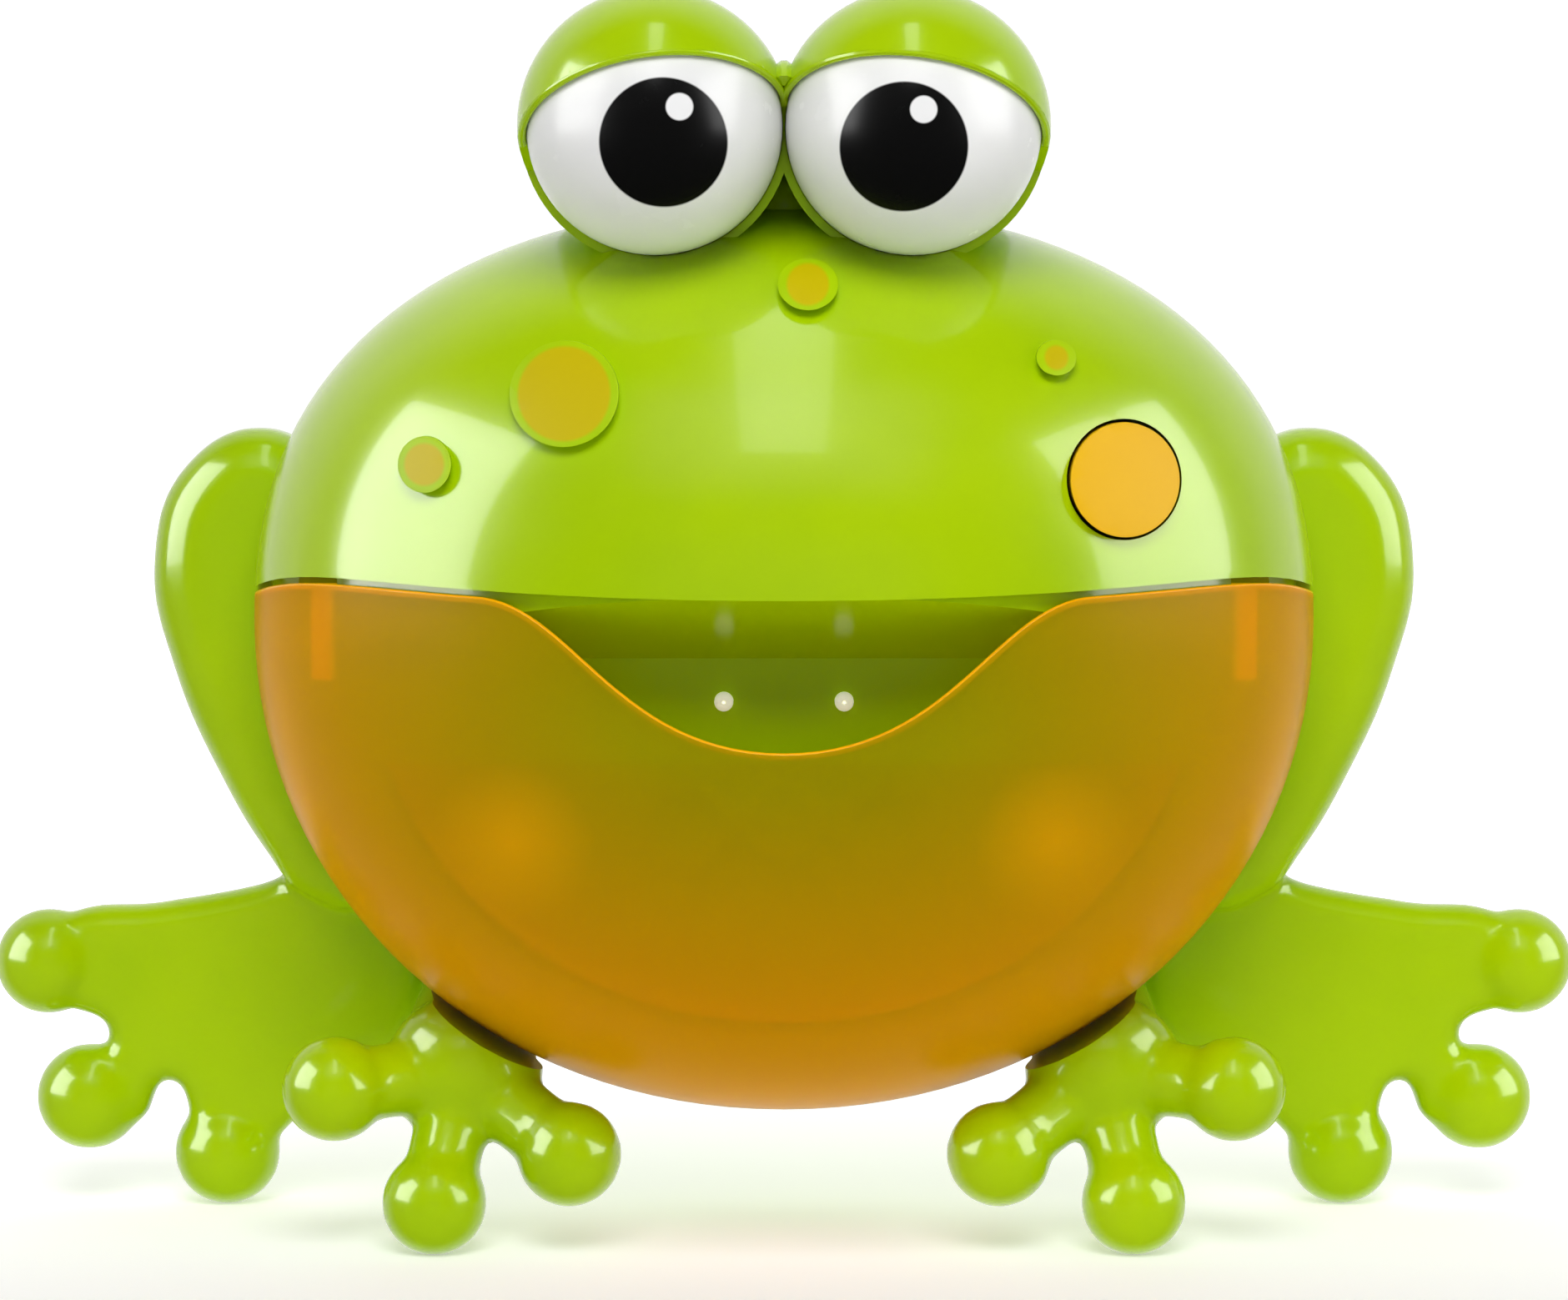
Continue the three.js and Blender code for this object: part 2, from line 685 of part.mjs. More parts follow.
// Mouth space in front of the liner: back wall and roof, drawn back by a wall thickness
function mouthSpace(grow) {
  const slope = roofDrop / roofRun;
  const lift = grow * Math.hypot(1, slope);
  const wall = mouthWallY + grow;
  const roofAt = (y) => creaseZ + slope * (mouthWallY - y) + lift;
  const frontY = noseY - domeDepth;
  const shape = new THREE.Shape();
  shape.moveTo(wall, -far);
  shape.lineTo(wall, roofAt(wall));
  shape.lineTo(frontY, roofAt(frontY));
  shape.lineTo(frontY, -far);
  shape.closePath();
  const prism = new THREE.ExtrudeGeometry(shape, { depth: far, bevelEnabled: false });
  prism.rotateX(Math.PI / 2).rotateZ(Math.PI / 2).translate(-far / 2, 0, 0);
  return solid(prism);
}

// Rib on the tray's side, and the slot in the liner that takes it and is open to the front and the top
const ribFrontY = mouthWallY - ribForward;
const ribBackY = mouthWallY + ribBackward;

function rib(side) {
  const low = [ribX - ribWidth / 2, ribFrontY, rimZ - ribHeight];
  return common(sideBox(side, low, [ribX + ribWidth / 2, ribBackY, rimZ]), egg(trayWall / 2));
}

function ribSlot(side, grow) {
  const margin = trayFit + grow;
  const low = [ribX - ribWidth / 2 - margin, noseY - domeDepth, rimZ - ribHeight - margin];
  return sideBox(side, low, [far, ribBackY + margin, far]);
}

function mouthLiner() {
  const spaces = (grow) => [mouthSpace(grow), ...sides.map((side) => ribSlot(side, grow))];
  const block = common(egg(linerInset), below(lipZ + linerTongue), inFrontOf(partingY - seamGap));
  const outer = cut(block, ...spaces(0));
  const inner = cut(egg(linerInset + linerWall), ...spaces(linerWall));
  const skin = egg(linerInset + linerWall / 2);
  const bosses = bothSides(lowerScrewPlace).map((place) => screwBoss(place, skin));
  const pilots = bothSides(lowerScrewPlace).map(screwPilot);
  const wallBite = wallInnerY - linerWall / 2;
  const postEndY = frameBackY - frameThickness - seamGap;
  const framePosts = sides.map((side) =>
    barY(framePostRadius, side * framePostX, framePostZ, wallBite, postEndY, 12),
  );
  const framePilots = sides.map((side) =>
    barY(smallScrew.shank + pilotClearance, side * framePostX, framePostZ, framePilotY, frameBackY, 12),
  );
  const standoffs = sides.map((side) =>
    barY(standoffRadius, side * standoffX, motorZ - standoffDrop, wallBite, blowerFrontY - seamGap, 10),
  );
  const jetHoles = sides.map((side) => boreWall(jetRadius + jetClearance, side * jetX, jetZ, 12));
  const sealHole = boreWall(sealRadius + sealClearance, 0, wandZ, 20);
  const built = join(cut(outer, inner), ...bosses, ...framePosts, ...standoffs);
  return cut(built, ...pilots, ...framePilots, ...jetHoles, sealHole);
}

// A hole through the liner's back wall
function boreWall(radius, x, z, facets) {
  return barY(radius, x, z, mouthWallY - overrun, wallInnerY + overrun, facets);
}

// Tray: lower front of the body, with its own back wall and the smile cut into its rim
function smileCut() {
  const [outer, inner] = [0.68 * smileHalfWidth, 0.55 * smileHalfWidth];
  const shape = new THREE.Shape();
  shape.moveTo(-smileHalfWidth, rimZ);
  shape.bezierCurveTo(-outer, rimZ, -inner, smileBottomZ, 0, smileBottomZ);
  shape.bezierCurveTo(inner, smileBottomZ, outer, rimZ, smileHalfWidth, rimZ);
  shape.lineTo(smileHalfWidth, rimZ + smileDip);
  shape.lineTo(-smileHalfWidth, rimZ + smileDip);
  shape.closePath();
  const frontY = noseY - domeDepth;
  return slab(shape, frontY, wallInnerY - frontY);
}

function bubbleTray() {
  const skin = common(cut(egg(0), egg(trayWall)), below(rimZ), inFrontOf(partingY - seamGap));
  const wallTop = smileBottomZ - trayBackDrop;
  const backWall = boxBetween([-far, trayBackFrontY, -far], [far, trayBackFrontY + trayWall, wallTop]);
  const hubHole = boreY(journalRadius + runningGap, 0, wandZ, 20);
  const backPlate = cut(common(egg(trayWall / 2), backWall), hubHole);
  return cut(join(skin, backPlate, ...sides.map(rib)), smileCut());
}

// Hind legs, drawn for the right side and mirrored for the left
const bySide = ({ across, z }) => new THREE.Vector2(bodyHalfWidth + across, z);
const byHip = ({ across, drop }) => new THREE.Vector2(bodyHalfWidth + across, equatorZ - drop);
const innerToe = { across: innerToeAcross, z: toeRadius - toeFlat };
const hindToes = [upperToe, outerToe, innerToe].map(bySide);

function hindPeg(side, grow) {
  const [y, z] = [haunchFrontY + haunchThickness / 2, equatorZ + hindPegRise];
  const inner = [side * (bodyHalfWidth - hindPegInside), y, z];
  return bar(inner, [side * (bodyHalfWidth + hindPegOutside), y, z], pegRadius + grow);
}

function haunchShape() {
  const [innerX, outerX] = [bodyHalfWidth - haunchInset, bodyHalfWidth + haunchReach];
  const [topZ, lowZ] = [equatorZ + haunchTop, equatorZ - haunchDrop];
  const [calfEnd, shinEnd] = [byHip(calf), byHip(shin)];
  const shape = new THREE.Shape();
  shape.moveTo(innerX, lowZ);
  shape.lineTo(innerX, equatorZ);
  shape.lineTo(innerX, equatorZ + 0.65 * haunchTop);
  shape.quadraticCurveTo(innerX + 0.35 * haunchInset, topZ, bodyHalfWidth, topZ);
  const [shoulderX, shoulderZ] = [bodyHalfWidth + 0.68 * haunchReach, equatorZ + 0.6 * haunchTop];
  shape.bezierCurveTo(shoulderX, topZ, outerX, shoulderZ, outerX, equatorZ + 0.23 * haunchTop);
  const [kneeX, kneeZ] = [bodyHalfWidth + 0.45 * haunchReach, equatorZ - 0.58 * calf.drop];
  shape.bezierCurveTo(outerX, equatorZ - 0.18 * calf.drop, kneeX, kneeZ, calfEnd.x, calfEnd.y);
  shape.lineTo(shinEnd.x, shinEnd.y);
  shape.closePath();
  return shape;
}

// Foot: an ankle, toe necks that point away from the foot's middle, and webs curved in between them
function footShape() {
  const middle = bySide(footMiddle);
  const necks = hindToes.map((toe) => {
    const along = toe.clone().sub(middle).setLength(toeNeck);
    const side = new THREE.Vector2(-along.y, along.x);
    return { first: toe.clone().add(side), last: toe.clone().sub(side) };
  });
  const [inner, top, outer] = [ankleInner, ankleTop, ankleOuter].map(bySide);
  const [instepEnd, heelBend] = [instep, heel].map(bySide);
  const shape = new THREE.Shape();
  shape.moveTo(inner.x, inner.y);
  shape.lineTo(top.x, top.y);
  shape.lineTo(outer.x, outer.y);
  shape.quadraticCurveTo(outer.x, instepEnd.y, instepEnd.x, instepEnd.y);
  necks.forEach(({ first, last }, i) => {
    if (i === 0) {
      shape.lineTo(first.x, first.y);
    } else {
      const web = hindToes[i - 1].clone().add(hindToes[i]).multiplyScalar(0.5).lerp(middle, webShare);
      shape.quadraticCurveTo(web.x, web.y, first.x, first.y);
    }
    shape.lineTo(last.x, last.y);
  });
  shape.quadraticCurveTo(heelBend.x, heelBend.y, inner.x, inner.y);
  return shape;
}

function hindLeg() {
  const toes = hindToes.map((toe) => ball(toeRadius, [toe.x, hindToeY, toe.y]));
  const haunch = pillow(haunchShape(), byHip(haunchMiddle), haunchFrontY, haunchThickness, haunchRound);
  const footY = hindToeY - footThickness / 2;
  const foot = pillow(footShape(), bySide(footMiddle), footY, footThickness, footRound);
  const outside = cut(join(haunch, foot, ...toes), egg(-legGap), traySweep());
  return common(join(outside, hindPeg(1, 0)), above(0));
}

// Front legs: a palm under the belly, toes on necks in front and a thigh back to the rear shell
const frontToes = [frontOuterToe, { x: frontLowToeX, z: frontToeRadius - toeFlat }, frontInnerToe];
const palmAt = [palm.x, partingY - palm.forward, palm.z];
const hipAt = [hip.x, partingY + hip.backward, hip.z];

function frontPeg(side, grow) {
  const lowZ = hip.z - frontPegDrop;
  const [x, y] = [side * hip.x, hipAt[1] + overrun];
  return bar([x, y, lowZ], [x, y, lowZ + frontPegLength], pegRadius + grow);
}

function frontLeg() {
  const oval = new THREE.SphereGeometry(1, 14, 8).scale(palm.halfWidth, palm.halfDepth, palm.halfHeight);
  const sole = solid(oval.translate(...palmAt));
  const thigh = bar(palmAt, hipAt, thighRadius, hip.radius);
  const knee = ball(hip.radius, hipAt);
  const toes = frontToes.map(({ x, z }) => ball(frontToeRadius, [x, frontToeY, z]));
  const necks = frontToes.map(({ x, z }) =>
    bar(palmAt, [x, frontToeY, z], frontNeckRadius, frontNeckRadius, 8),
  );
  const outside = cut(join(sole, thigh, knee, ...toes, ...necks), egg(-legGap), traySweep());
  return common(join(outside, frontPeg(1, 0)), above(0));
}

// Button with its stem and snap barb
function powerButton() {
  const head = barY(buttonRadius, buttonX, buttonZ, noseY - domeDepth, capBackY);
  const cap = common(head, egg(-buttonProud));
  const stem = barY(stemRadius, buttonX, buttonZ, capBackY - overrun, stemEndY, 16);
  const barb = barY(barbRadius, buttonX, buttonZ, stemEndY - barbThickness, stemEndY, 16);
  return join(cap, stem, barb);
}

// A coil spring along an axis: one unbroken tube, 8 steps of 5 sides to a turn
class Coil extends THREE.Curve {
  constructor(radius, length, turns) {
    super();
    Object.assign(this, { radius, length, turns });
  }

  getPoint(t, target = new THREE.Vector3()) {
    const angle = 2 * Math.PI * this.turns * t;
    return target.set(this.radius * Math.cos(angle), this.length * t, this.radius * Math.sin(angle));
  }
}

function coil(name, radius, length, turns, wire) {
  const corners = Array.from({ length: 5 }, (_, i) => {
    const angle = (2 * Math.PI * i) / 5;
    return new THREE.Vector2((wire / 2) * Math.cos(angle), (wire / 2) * Math.sin(angle));
  });
  const path = new Coil(radius, length - wire, turns);
  const options = { steps: 8 * turns, extrudePath: path, bevelEnabled: false };
  const gap = (length - wire) / turns - wire;
  console.log(`${name} least gap ${gap.toFixed(2)} mm`);
  return new THREE.ExtrudeGeometry(new THREE.Shape(corners), options).translate(0, wire / 2, 0);
}

function buttonSpring() {
  const length = springRoom - 2 * seamGap;
  const geometry = coil("button_spring", springRadius, length, springTurns, springWire);
  return solid(geometry.translate(buttonX, capBackY + seamGap, buttonZ));
}

// Circuit board with its chip and capacitor, and the switch on its face
function circuitBoard() {
  const plate = boxBetween(
    [boardX, boardFaceY, boardZ],
    [boardX + boardWidth, boardBackY, boardZ + boardHeight],
  );
  const [chipX, chipZ] = [boardX + chip.x, boardZ + chip.z];
  const chipBody = boxBetween(
    [chipX, boardBackY - bite, chipZ],
    [chipX + chip.width, boardBackY + chip.thickness, chipZ + chip.height],
  );
  const [canX, canZ] = [boardX + capacitor.x, boardZ + capacitor.z];
  const can = barY(capacitor.radius, canX, canZ, boardBackY - bite, boardBackY + capacitor.length, 12);
  return join(plate, chipBody, can);
}

function tactSwitch() {
  const half = switchSize / 2;
  const faceY = boardFaceY - switchHeight;
  const body = boxBetween(
    [buttonX - half, faceY, buttonZ - half],
    [buttonX + half, boardFaceY - switchGap, buttonZ + half],
  );
  return join(body, barY(plungerRadius, buttonX, buttonZ, switchTopY, faceY + bite, 12));
}

// Speaker on the inside of the back wall
function speaker() {
  const rearY = backInnerY - seamGap;
  const frontY = rearY - speakerDepth;
  const profile = [
    [0, frontY],
    [speakerMagnetRadius, frontY],
    [speakerMagnetRadius, frontY + speakerMagnetDepth],
    [speakerRadius - speakerRim, rearY - speakerRim],
    [speakerRadius, rearY - speakerRim],
    [speakerRadius, rearY],
    [speakerRadius - speakerRim / 2, rearY],
    [speakerConeRadius, rearY - speakerConeDepth],
    [0, rearY - speakerConeDepth / 2],
  ];
  return turned(profile, 0, speakerZ, 20);
}

// Gears: straight-flanked teeth with backlash, a tooth centred on the phase angle
function gearShape(teeth, phase) {
  const pitchRadius = (gearModule * teeth) / 2;
  const rootRadius = pitchRadius - 1.15 * gearModule;
  const tipRadius = pitchRadius + 0.75 * gearModule;
  const pitchStep = (2 * Math.PI) / teeth;
  const rootHalf = 0.27 * pitchStep;
  const tipHalf = (0.36 * gearModule) / tipRadius;
  const corners = Array.from({ length: teeth }, (_, i) => phase + i * pitchStep).flatMap((middle) => [
    [rootRadius, middle - rootHalf],
    [tipRadius, middle - tipHalf],
    [tipRadius, middle + tipHalf],
    [rootRadius, middle + rootHalf],
  ]);
  return new THREE.Shape(
    corners.map(([radius, angle]) => new THREE.Vector2(radius * Math.cos(angle), radius * Math.sin(angle))),
  );
}

function gear(teeth, phase, z, frontY, width) {
  return slab(gearShape(teeth, phase), frontY, width, z);
}

const pinionPhase = -quarter + Math.PI / pinionTeeth;
const outputPhase = Math.PI / gearTeeth;
const motorShaftBore = boreY(motorShaftRadius + runningGap, 0, motorZ);
const gearPinBore = boreY(gearPinRadius + runningGap, 0, reductionZ);
const outputShaftBore = boreY(outputShaftRadius + runningGap, 0, wandZ);
const framePilotY = wallInnerY + framePostRadius;

function motor() {
  const can = common(
    barY(motorRadius, 0, motorZ, motorFrontY, motorBackY),
    boxBetween([-far, -far, motorZ - motorHeight / 2], [far, far, motorZ + motorHeight / 2]),
  );
  const tailY = motorBackY + motorBearing;
  const bearings = barY(motorBearingRadius, 0, motorZ, motorFrontY - motorNose, tailY, 16);
  return cut(join(can, bearings), motorShaftBore);
}

const impellerFrontY = blowerFrontY + blowerWall + impellerGap;

function motorShaft() {
  return barY(motorShaftRadius, 0, motorZ, impellerFrontY + bite, motorBackY + motorShaftTail, 16);
}

function motorPinion() {
  return cut(gear(pinionTeeth, pinionPhase, motorZ, motorPinionY, motorPinionWidth), motorShaftBore);
}

function impeller() {
  const disc = barY(impellerRadius, 0, motorZ, impellerFrontY, impellerFrontY + impellerDisc);
  const hub = barY(impellerHubRadius, 0, motorZ, impellerFrontY, impellerFrontY + impellerHubLength, 16);
  const bladeLength = impellerRadius - overrun / 2 - bladeInnerRadius;
  const blades = Array.from({ length: impellerBlades }, (_, i) => {
    const bladeDepth = impellerHubLength - impellerDisc / 2;
    const blade = new THREE.BoxGeometry(bladeLength, bladeDepth, bladeThickness);
    const middleY = impellerFrontY + impellerHubLength - bladeDepth / 2;
    blade.translate(bladeInnerRadius + bladeLength / 2, middleY, 0);
    return solid(blade.rotateY((2 * Math.PI * i) / impellerBlades).translate(0, 0, motorZ));
  });
  return cut(join(disc, hub, ...blades), motorShaftBore);
}

const blowerOuterRadius = blowerInnerRadius + blowerWall;

function blowerHousing() {
  const floorY = blowerFrontY + blowerWall;
  const profile = [
    [0, blowerFrontY],
    [blowerOuterRadius, blowerFrontY],
    [blowerOuterRadius, blowerRimY],
    [blowerInnerRadius, blowerRimY],
    [blowerInnerRadius, floorY],
    [0, floorY],
  ];
  const holes = sides.map((side) =>
    barY(jetRadius + jetClearance, side * jetX, jetZ, blowerFrontY - overrun, floorY + overrun, 12),
  );
  return cut(turned(profile, 0, motorZ, 28), ...holes);
}

function blowerCover() {
  const plate = barY(blowerOuterRadius, 0, motorZ, coverFrontY, coverFrontY + coverThickness, 28);
  return cut(plate, boreY(airInletRadius, 0, motorZ, 20));
}

// Air jet: a tube from the blower through the liner's back wall, with a flange behind that wall
function airJet(side) {
  const tipY = mouthWallY - jetProud;
  const endY = blowerFrontY + blowerWall - bite;
  const flangeY = wallInnerY + seamGap;
  const profile = [
    [jetBore, tipY],
    [jetRadius - jetChamfer / 2, tipY],
    [jetRadius, tipY + jetChamfer],
    [jetRadius, flangeY],
    [jetRadius + jetFlange, flangeY],
    [jetRadius + jetFlange, flangeY + jetFlangeThickness],
    [jetRadius, flangeY + jetFlangeThickness],
    [jetRadius, endY],
    [jetBore, endY],
    [jetBore, tipY],
  ];
  return turned(profile, side * jetX, jetZ, 14);
}

// Gear frame: a lower plate behind the gears, a web and the motor's plate in front of the motor
function gearFrame() {
  const stepZ = motorZ - motorHeight / 2 - frameStep;
  const lower = boxBetween(
    [-frameHalfWidth, frameBackY - frameThickness, framePostZ - frameBelow],
    [frameHalfWidth, frameBackY, stepZ],
  );
  const upper = boxBetween(
    [-motorPlateHalfWidth, plateFrontY, stepZ - overrun],
    [motorPlateHalfWidth, plateFrontY + frameThickness, motorZ + motorPlateTop],
  );
  const web = boxBetween(
    [-motorPlateHalfWidth, plateFrontY, stepZ - overrun],
    [motorPlateHalfWidth, frameBackY, stepZ - overrun + frameWeb],
  );
  const noseHole = boreY(motorBearingRadius + bite, 0, motorZ);
  const recessRadius = (gearModule * pinionTeeth) / 2 + gearModule + runningGap;
  const recess = barY(recessRadius, 0, motorZ, plateFrontY - overrun, plateFrontY + gearSideGap, 16);
  const screwHole = smallScrew.shank + screwClearance;
  const screws = sides.map((side) => boreY(screwHole, side * framePostX, framePostZ, 12));
  return cut(join(lower, upper, web), noseHole, recess, gearPinBore, outputShaftBore, ...screws);
}

function reductionGear() {
  const big = gear(gearTeeth, 0, reductionZ, bigGearY, gearWidth);
  const small = gear(pinionTeeth, 0, reductionZ, smallPinionY - bite, pinionWidth + bite);
  return cut(join(big, small), gearPinBore);
}

function reductionPin() {
  return barY(gearPinRadius, 0, reductionZ, bigGearY - gearPinProud, frameBackY + gearPinProud, 16);
}

function outputGear() {
  return cut(gear(gearTeeth, outputPhase, wandZ, outputGearY, gearWidth), outputShaftBore);
}

// Dog coupling: a flat blade on the shaft drives a slot in the wand's journal
const journalEndY = mouthWallY - journalGap;
const dogTipY = mouthWallY - dogReach;

function outputShaft() {
  const rootY = mouthWallY - dogRoot - bite;
  const rod = barY(outputShaftRadius, 0, wandZ, rootY, frameBackY + outputShaftProud, 16);
  const blade = boxBetween(
    [-dogWidth / 2, dogTipY, wandZ - dogThickness / 2],
    [dogWidth / 2, mouthWallY - dogRoot, wandZ + dogThickness / 2],
  );
  return join(rod, blade);
}

function shaftSeal() {
  const bore = outputShaftRadius + runningGap;
  const flangeY = wallInnerY + sealClearance;
  const profile = [
    [bore, mouthWallY],
    [sealRadius, mouthWallY],
    [sealRadius, flangeY],
    [sealRadius + sealFlange, flangeY],
    [sealRadius + sealFlange, flangeY + sealFlangeThickness],
    [bore, flangeY + sealFlangeThickness],
    [bore, mouthWallY],
  ];
  return turned(profile, 0, wandZ, 20);
}

// Bubble wand: two hoops on a hub whose journal turns in the tray's back wall, held by a clip
function bubbleWand() {
  const hubBackY = trayBackFrontY - seamGap;
  const middleY = hubBackY - wandThickness / 2;
  const hub = barY(wandHubRadius, 0, wandZ, hubBackY - wandThickness, hubBackY);
  const journal = barY(journalRadius, 0, wandZ, hubBackY - overrun, journalEndY);
  const armReach = wandHoopCentre - wandHoopRadius;
  const arms = boxBetween(
    [-armReach, middleY - wandArmThickness / 2, wandZ - wandArmWidth / 2],
    [armReach, middleY + wandArmThickness / 2, wandZ + wandArmWidth / 2],
  );
  const hoops = sides.map((side) => {
    const ring = new THREE.TorusGeometry(wandHoopRadius, wandHoopWire, 6, 16).rotateX(Math.PI / 2);
    return solid(ring.translate(side * wandHoopCentre, middleY, wandZ));
  });
  const slotHalf = dogThickness / 2 + dogClearance;
  const slot = boxBetween(
    [-far, dogTipY - dogClearance, wandZ - slotHalf],
    [far, journalEndY + overrun, wandZ + slotHalf],
  );
  return cut(join(hub, journal, arms, ...hoops), slot);
}

function wandClip() {
  const frontY = trayBackFrontY + trayWall + seamGap;
  const ring = barY(journalRadius + clipRim, 0, wandZ, frontY, frontY + clipThickness);
  return cut(ring, boreY(journalRadius + runningGap, 0, wandZ, 20));
}

// Battery box, cells and contacts
function batteryBox() {
  const [x, top] = [bayHalfLength + boxWall - doorGap, bayHalfHeight + boxWall];
  const shell = boxBetween([-x, bayFloorY - boxWall, cellZ - top], [x, boxFlangeY, cellZ + top]);
  const flange = boxBetween(
    [-windowHalfWidth - boxFlange, boxFlangeY - boxFlangeThickness, windowLowZ - boxFlange],
    [windowHalfWidth + boxFlange, boxFlangeY, windowHighZ + boxFlange / 2],
  );
  const boss = barY(doorBossRadius, 0, doorScrewZ, boxFlangeY - doorBossLength, boxFlangeY, 16);
  const bay = boxBetween(
    [-bayHalfLength, bayFloorY, cellZ - bayHalfHeight],
    [bayHalfLength, backY, cellZ + bayHalfHeight],
  );
  const pilotRadius = smallScrew.shank + screwClearance / 2;
  const pilot = barY(pilotRadius, 0, doorScrewZ, boxFlangeY - doorBossLength + overrun, backY, 12);
  const inside = common(join(shell, flange, boss), egg(shellWall + boxClearance));
  return cut(inside, bay, pilot);
}

// A cell along X: nub towards the given end
function cell(row, end) {
  const profile = [
    [0, -cellLength / 2],
    [cellRadius, -cellLength / 2],
    [cellRadius, cellLength / 2 - cellNubLength],
    [cellNubRadius, cellLength / 2 - cellNubLength],
    [cellNubRadius, cellLength / 2],
    [0, cellLength / 2],
  ];
  const points = profile.map(([radius, y]) => new THREE.Vector2(radius, y));
  const body = new THREE.LatheGeometry(points, 18).rotateZ((-end * Math.PI) / 2);
  const shift = bayHalfLength - cellLength / 2 - plateThickness - 2 * boxClearance;
  return solid(body.translate(end * shift, cellY, row));
}

function contactPlate(row, end) {
  const x = bayHalfLength - boxClearance;
  const low = [x - plateThickness, cellY - plateHalf, row - plateHalf];
  return sideBox(end, low, [x, cellY + plateHalf, row + plateHalf]);
}

function contactSpring(name, row, end) {
  const geometry = coil(name, cellSpringRadius, cellSpringLength, cellSpringTurns, cellSpringWire);
  geometry.rotateZ((-end * Math.PI) / 2);
  return solid(geometry.translate(-end * (bayHalfLength - boxClearance), cellY, row));
}

// Door in the rear shell's window, with its captive screw
function batteryDoor() {
  const plate = boxBetween(
    [-windowHalfWidth + doorGap, backInnerY, windowLowZ],
    [windowHalfWidth - doorGap, backY, windowHighZ],
  );
  const pocketY = backY - smallScrew.headHeight - doorScrewSink;
  const pocket = barY(smallScrew.head + screwClearance, 0, doorScrewZ, pocketY, backY + overrun, 16);
  return cut(plate, pocket, boreY(smallScrew.shank + screwClearance, 0, doorScrewZ, 12));
}

// Screws point forward: the head's outer face is at headY
function screw({ head, shank, headHeight }, { x, z }, headY, length) {
  const profile = [
    [0, headY - length],
    [shank, headY - length + shank],
    [shank, headY - headHeight],
    [head, headY - headHeight],
    [head, headY - screwChamfer],
    [head - screwChamfer, headY],
    [0, headY],
  ];
  const slot = boxBetween(
    [x - head, headY - slotDepth, z - slotWidth / 2],
    [x + head, headY + overrun, z + slotWidth / 2],
  );
  return cut(turned(profile, x, z, 10), slot);
}

// Suction cup: barbed neck through the back wall, flaring to a flat lip on the bath wall
function suctionCup({ x, z }) {
  const barbY = backInnerY - seamGap;
  const flangeY = backY + seamGap;
  const profile = [
    [0, barbY - cupBarbLength],
    [cupNeckRadius + 0.6 * cupBarb, barbY - 0.85 * cupBarbLength],
    [cupNeckRadius + cupBarb, barbY],
    [cupNeckRadius, barbY],
    [cupNeckRadius, flangeY],
    [cupNeckRadius + cupFlange, flangeY],
    [cupNeckRadius + 1.3 * cupFlange, backY + 0.22 * cupDepth],
    [0.72 * cupRadius, backY + 0.49 * cupDepth],
    [cupRadius, wallY - cupLip],
    [cupRadius, wallY],
    [cupRadius - cupLipWidth, wallY],
    [0.66 * cupRadius, wallY - 0.54 * cupHollow],
    [0.34 * cupRadius, wallY - 0.88 * cupHollow],
    [0, wallY - cupHollow],
  ];
  return turned(profile, x, z, 16);
}

// Finishes
const finish = (color, roughness, metalness = 0, extra = {}) =>
  new THREE.MeshStandardMaterial({ color, roughness, metalness, ...extra });
const lime = finish(0xa2c800, 0.22);
const limeDark = finish(0x86a800, 0.3);
const amber = finish(0xc98a00, 0.2, 0, { transparent: true, opacity: 0.6 });
const yellow = finish(0xf2c21e, 0.35);
const white = finish(0xf2f1ea, 0.25);
const offWhite = finish(0xe3deb7, 0.4);
const vinyl = finish(0xdfe6e6, 0.2, 0, { transparent: true, opacity: 0.6 });
const steel = finish(0xb8b8b4, 0.35, 1);
const copper = finish(0xb99a5a, 0.35, 1);
const boardGreen = finish(0x2a5a34, 0.5);
const darkPlastic = finish(0x26262a, 0.5);
const gearWhite = finish(0xe8e6de, 0.45);
const rubber = finish(0x2b2b2b, 0.8);

const frog = new THREE.Group();

function addPiece(name, shape, material, mirrored = false) {
  const mesh = new THREE.Mesh(geometryOf(shape), material);
  mesh.name = name;
  if (mirrored) mesh.scale.x = -1;
  frog.add(mesh);
}

addPiece("front_shell", frontShell(), lime);
addPiece("rear_shell", rearShell(), lime);
addPiece("mouth_liner", mouthLiner(), limeDark);
addPiece("bubble_tray", bubbleTray(), amber);
addPiece("eye_left", eyeDome(-1), white);
addPiece("eye_right", eyeDome(1), white);
addPiece("hind_leg_left", hindLeg(), lime, true);
addPiece("hind_leg_right", hindLeg(), lime);
addPiece("front_leg_left", frontLeg(), lime, true);
addPiece("front_leg_right", frontLeg(), lime);
addPiece("power_button", powerButton(), yellow);
addPiece("button_spring", buttonSpring(), steel);
addPiece("circuit_board", circuitBoard(), boardGreen);
addPiece("tact_switch", tactSwitch(), darkPlastic);
addPiece("speaker", speaker(), darkPlastic);
addPiece("motor", motor(), steel);
addPiece("motor_shaft", motorShaft(), steel);
addPiece("motor_pinion", motorPinion(), copper);
addPiece("impeller", impeller(), gearWhite);
addPiece("blower_housing", blowerHousing(), darkPlastic);
addPiece("blower_cover", blowerCover(), darkPlastic);
addPiece("air_jet_left", airJet(-1), offWhite);
addPiece("air_jet_right", airJet(1), offWhite);
addPiece("gear_frame", gearFrame(), gearWhite);
addPiece("reduction_gear", reductionGear(), gearWhite);
addPiece("reduction_pin", reductionPin(), steel);
addPiece("output_gear", outputGear(), gearWhite);
addPiece("output_shaft", outputShaft(), steel);
addPiece("shaft_seal", shaftSeal(), rubber);
addPiece("bubble_wand", bubbleWand(), amber);
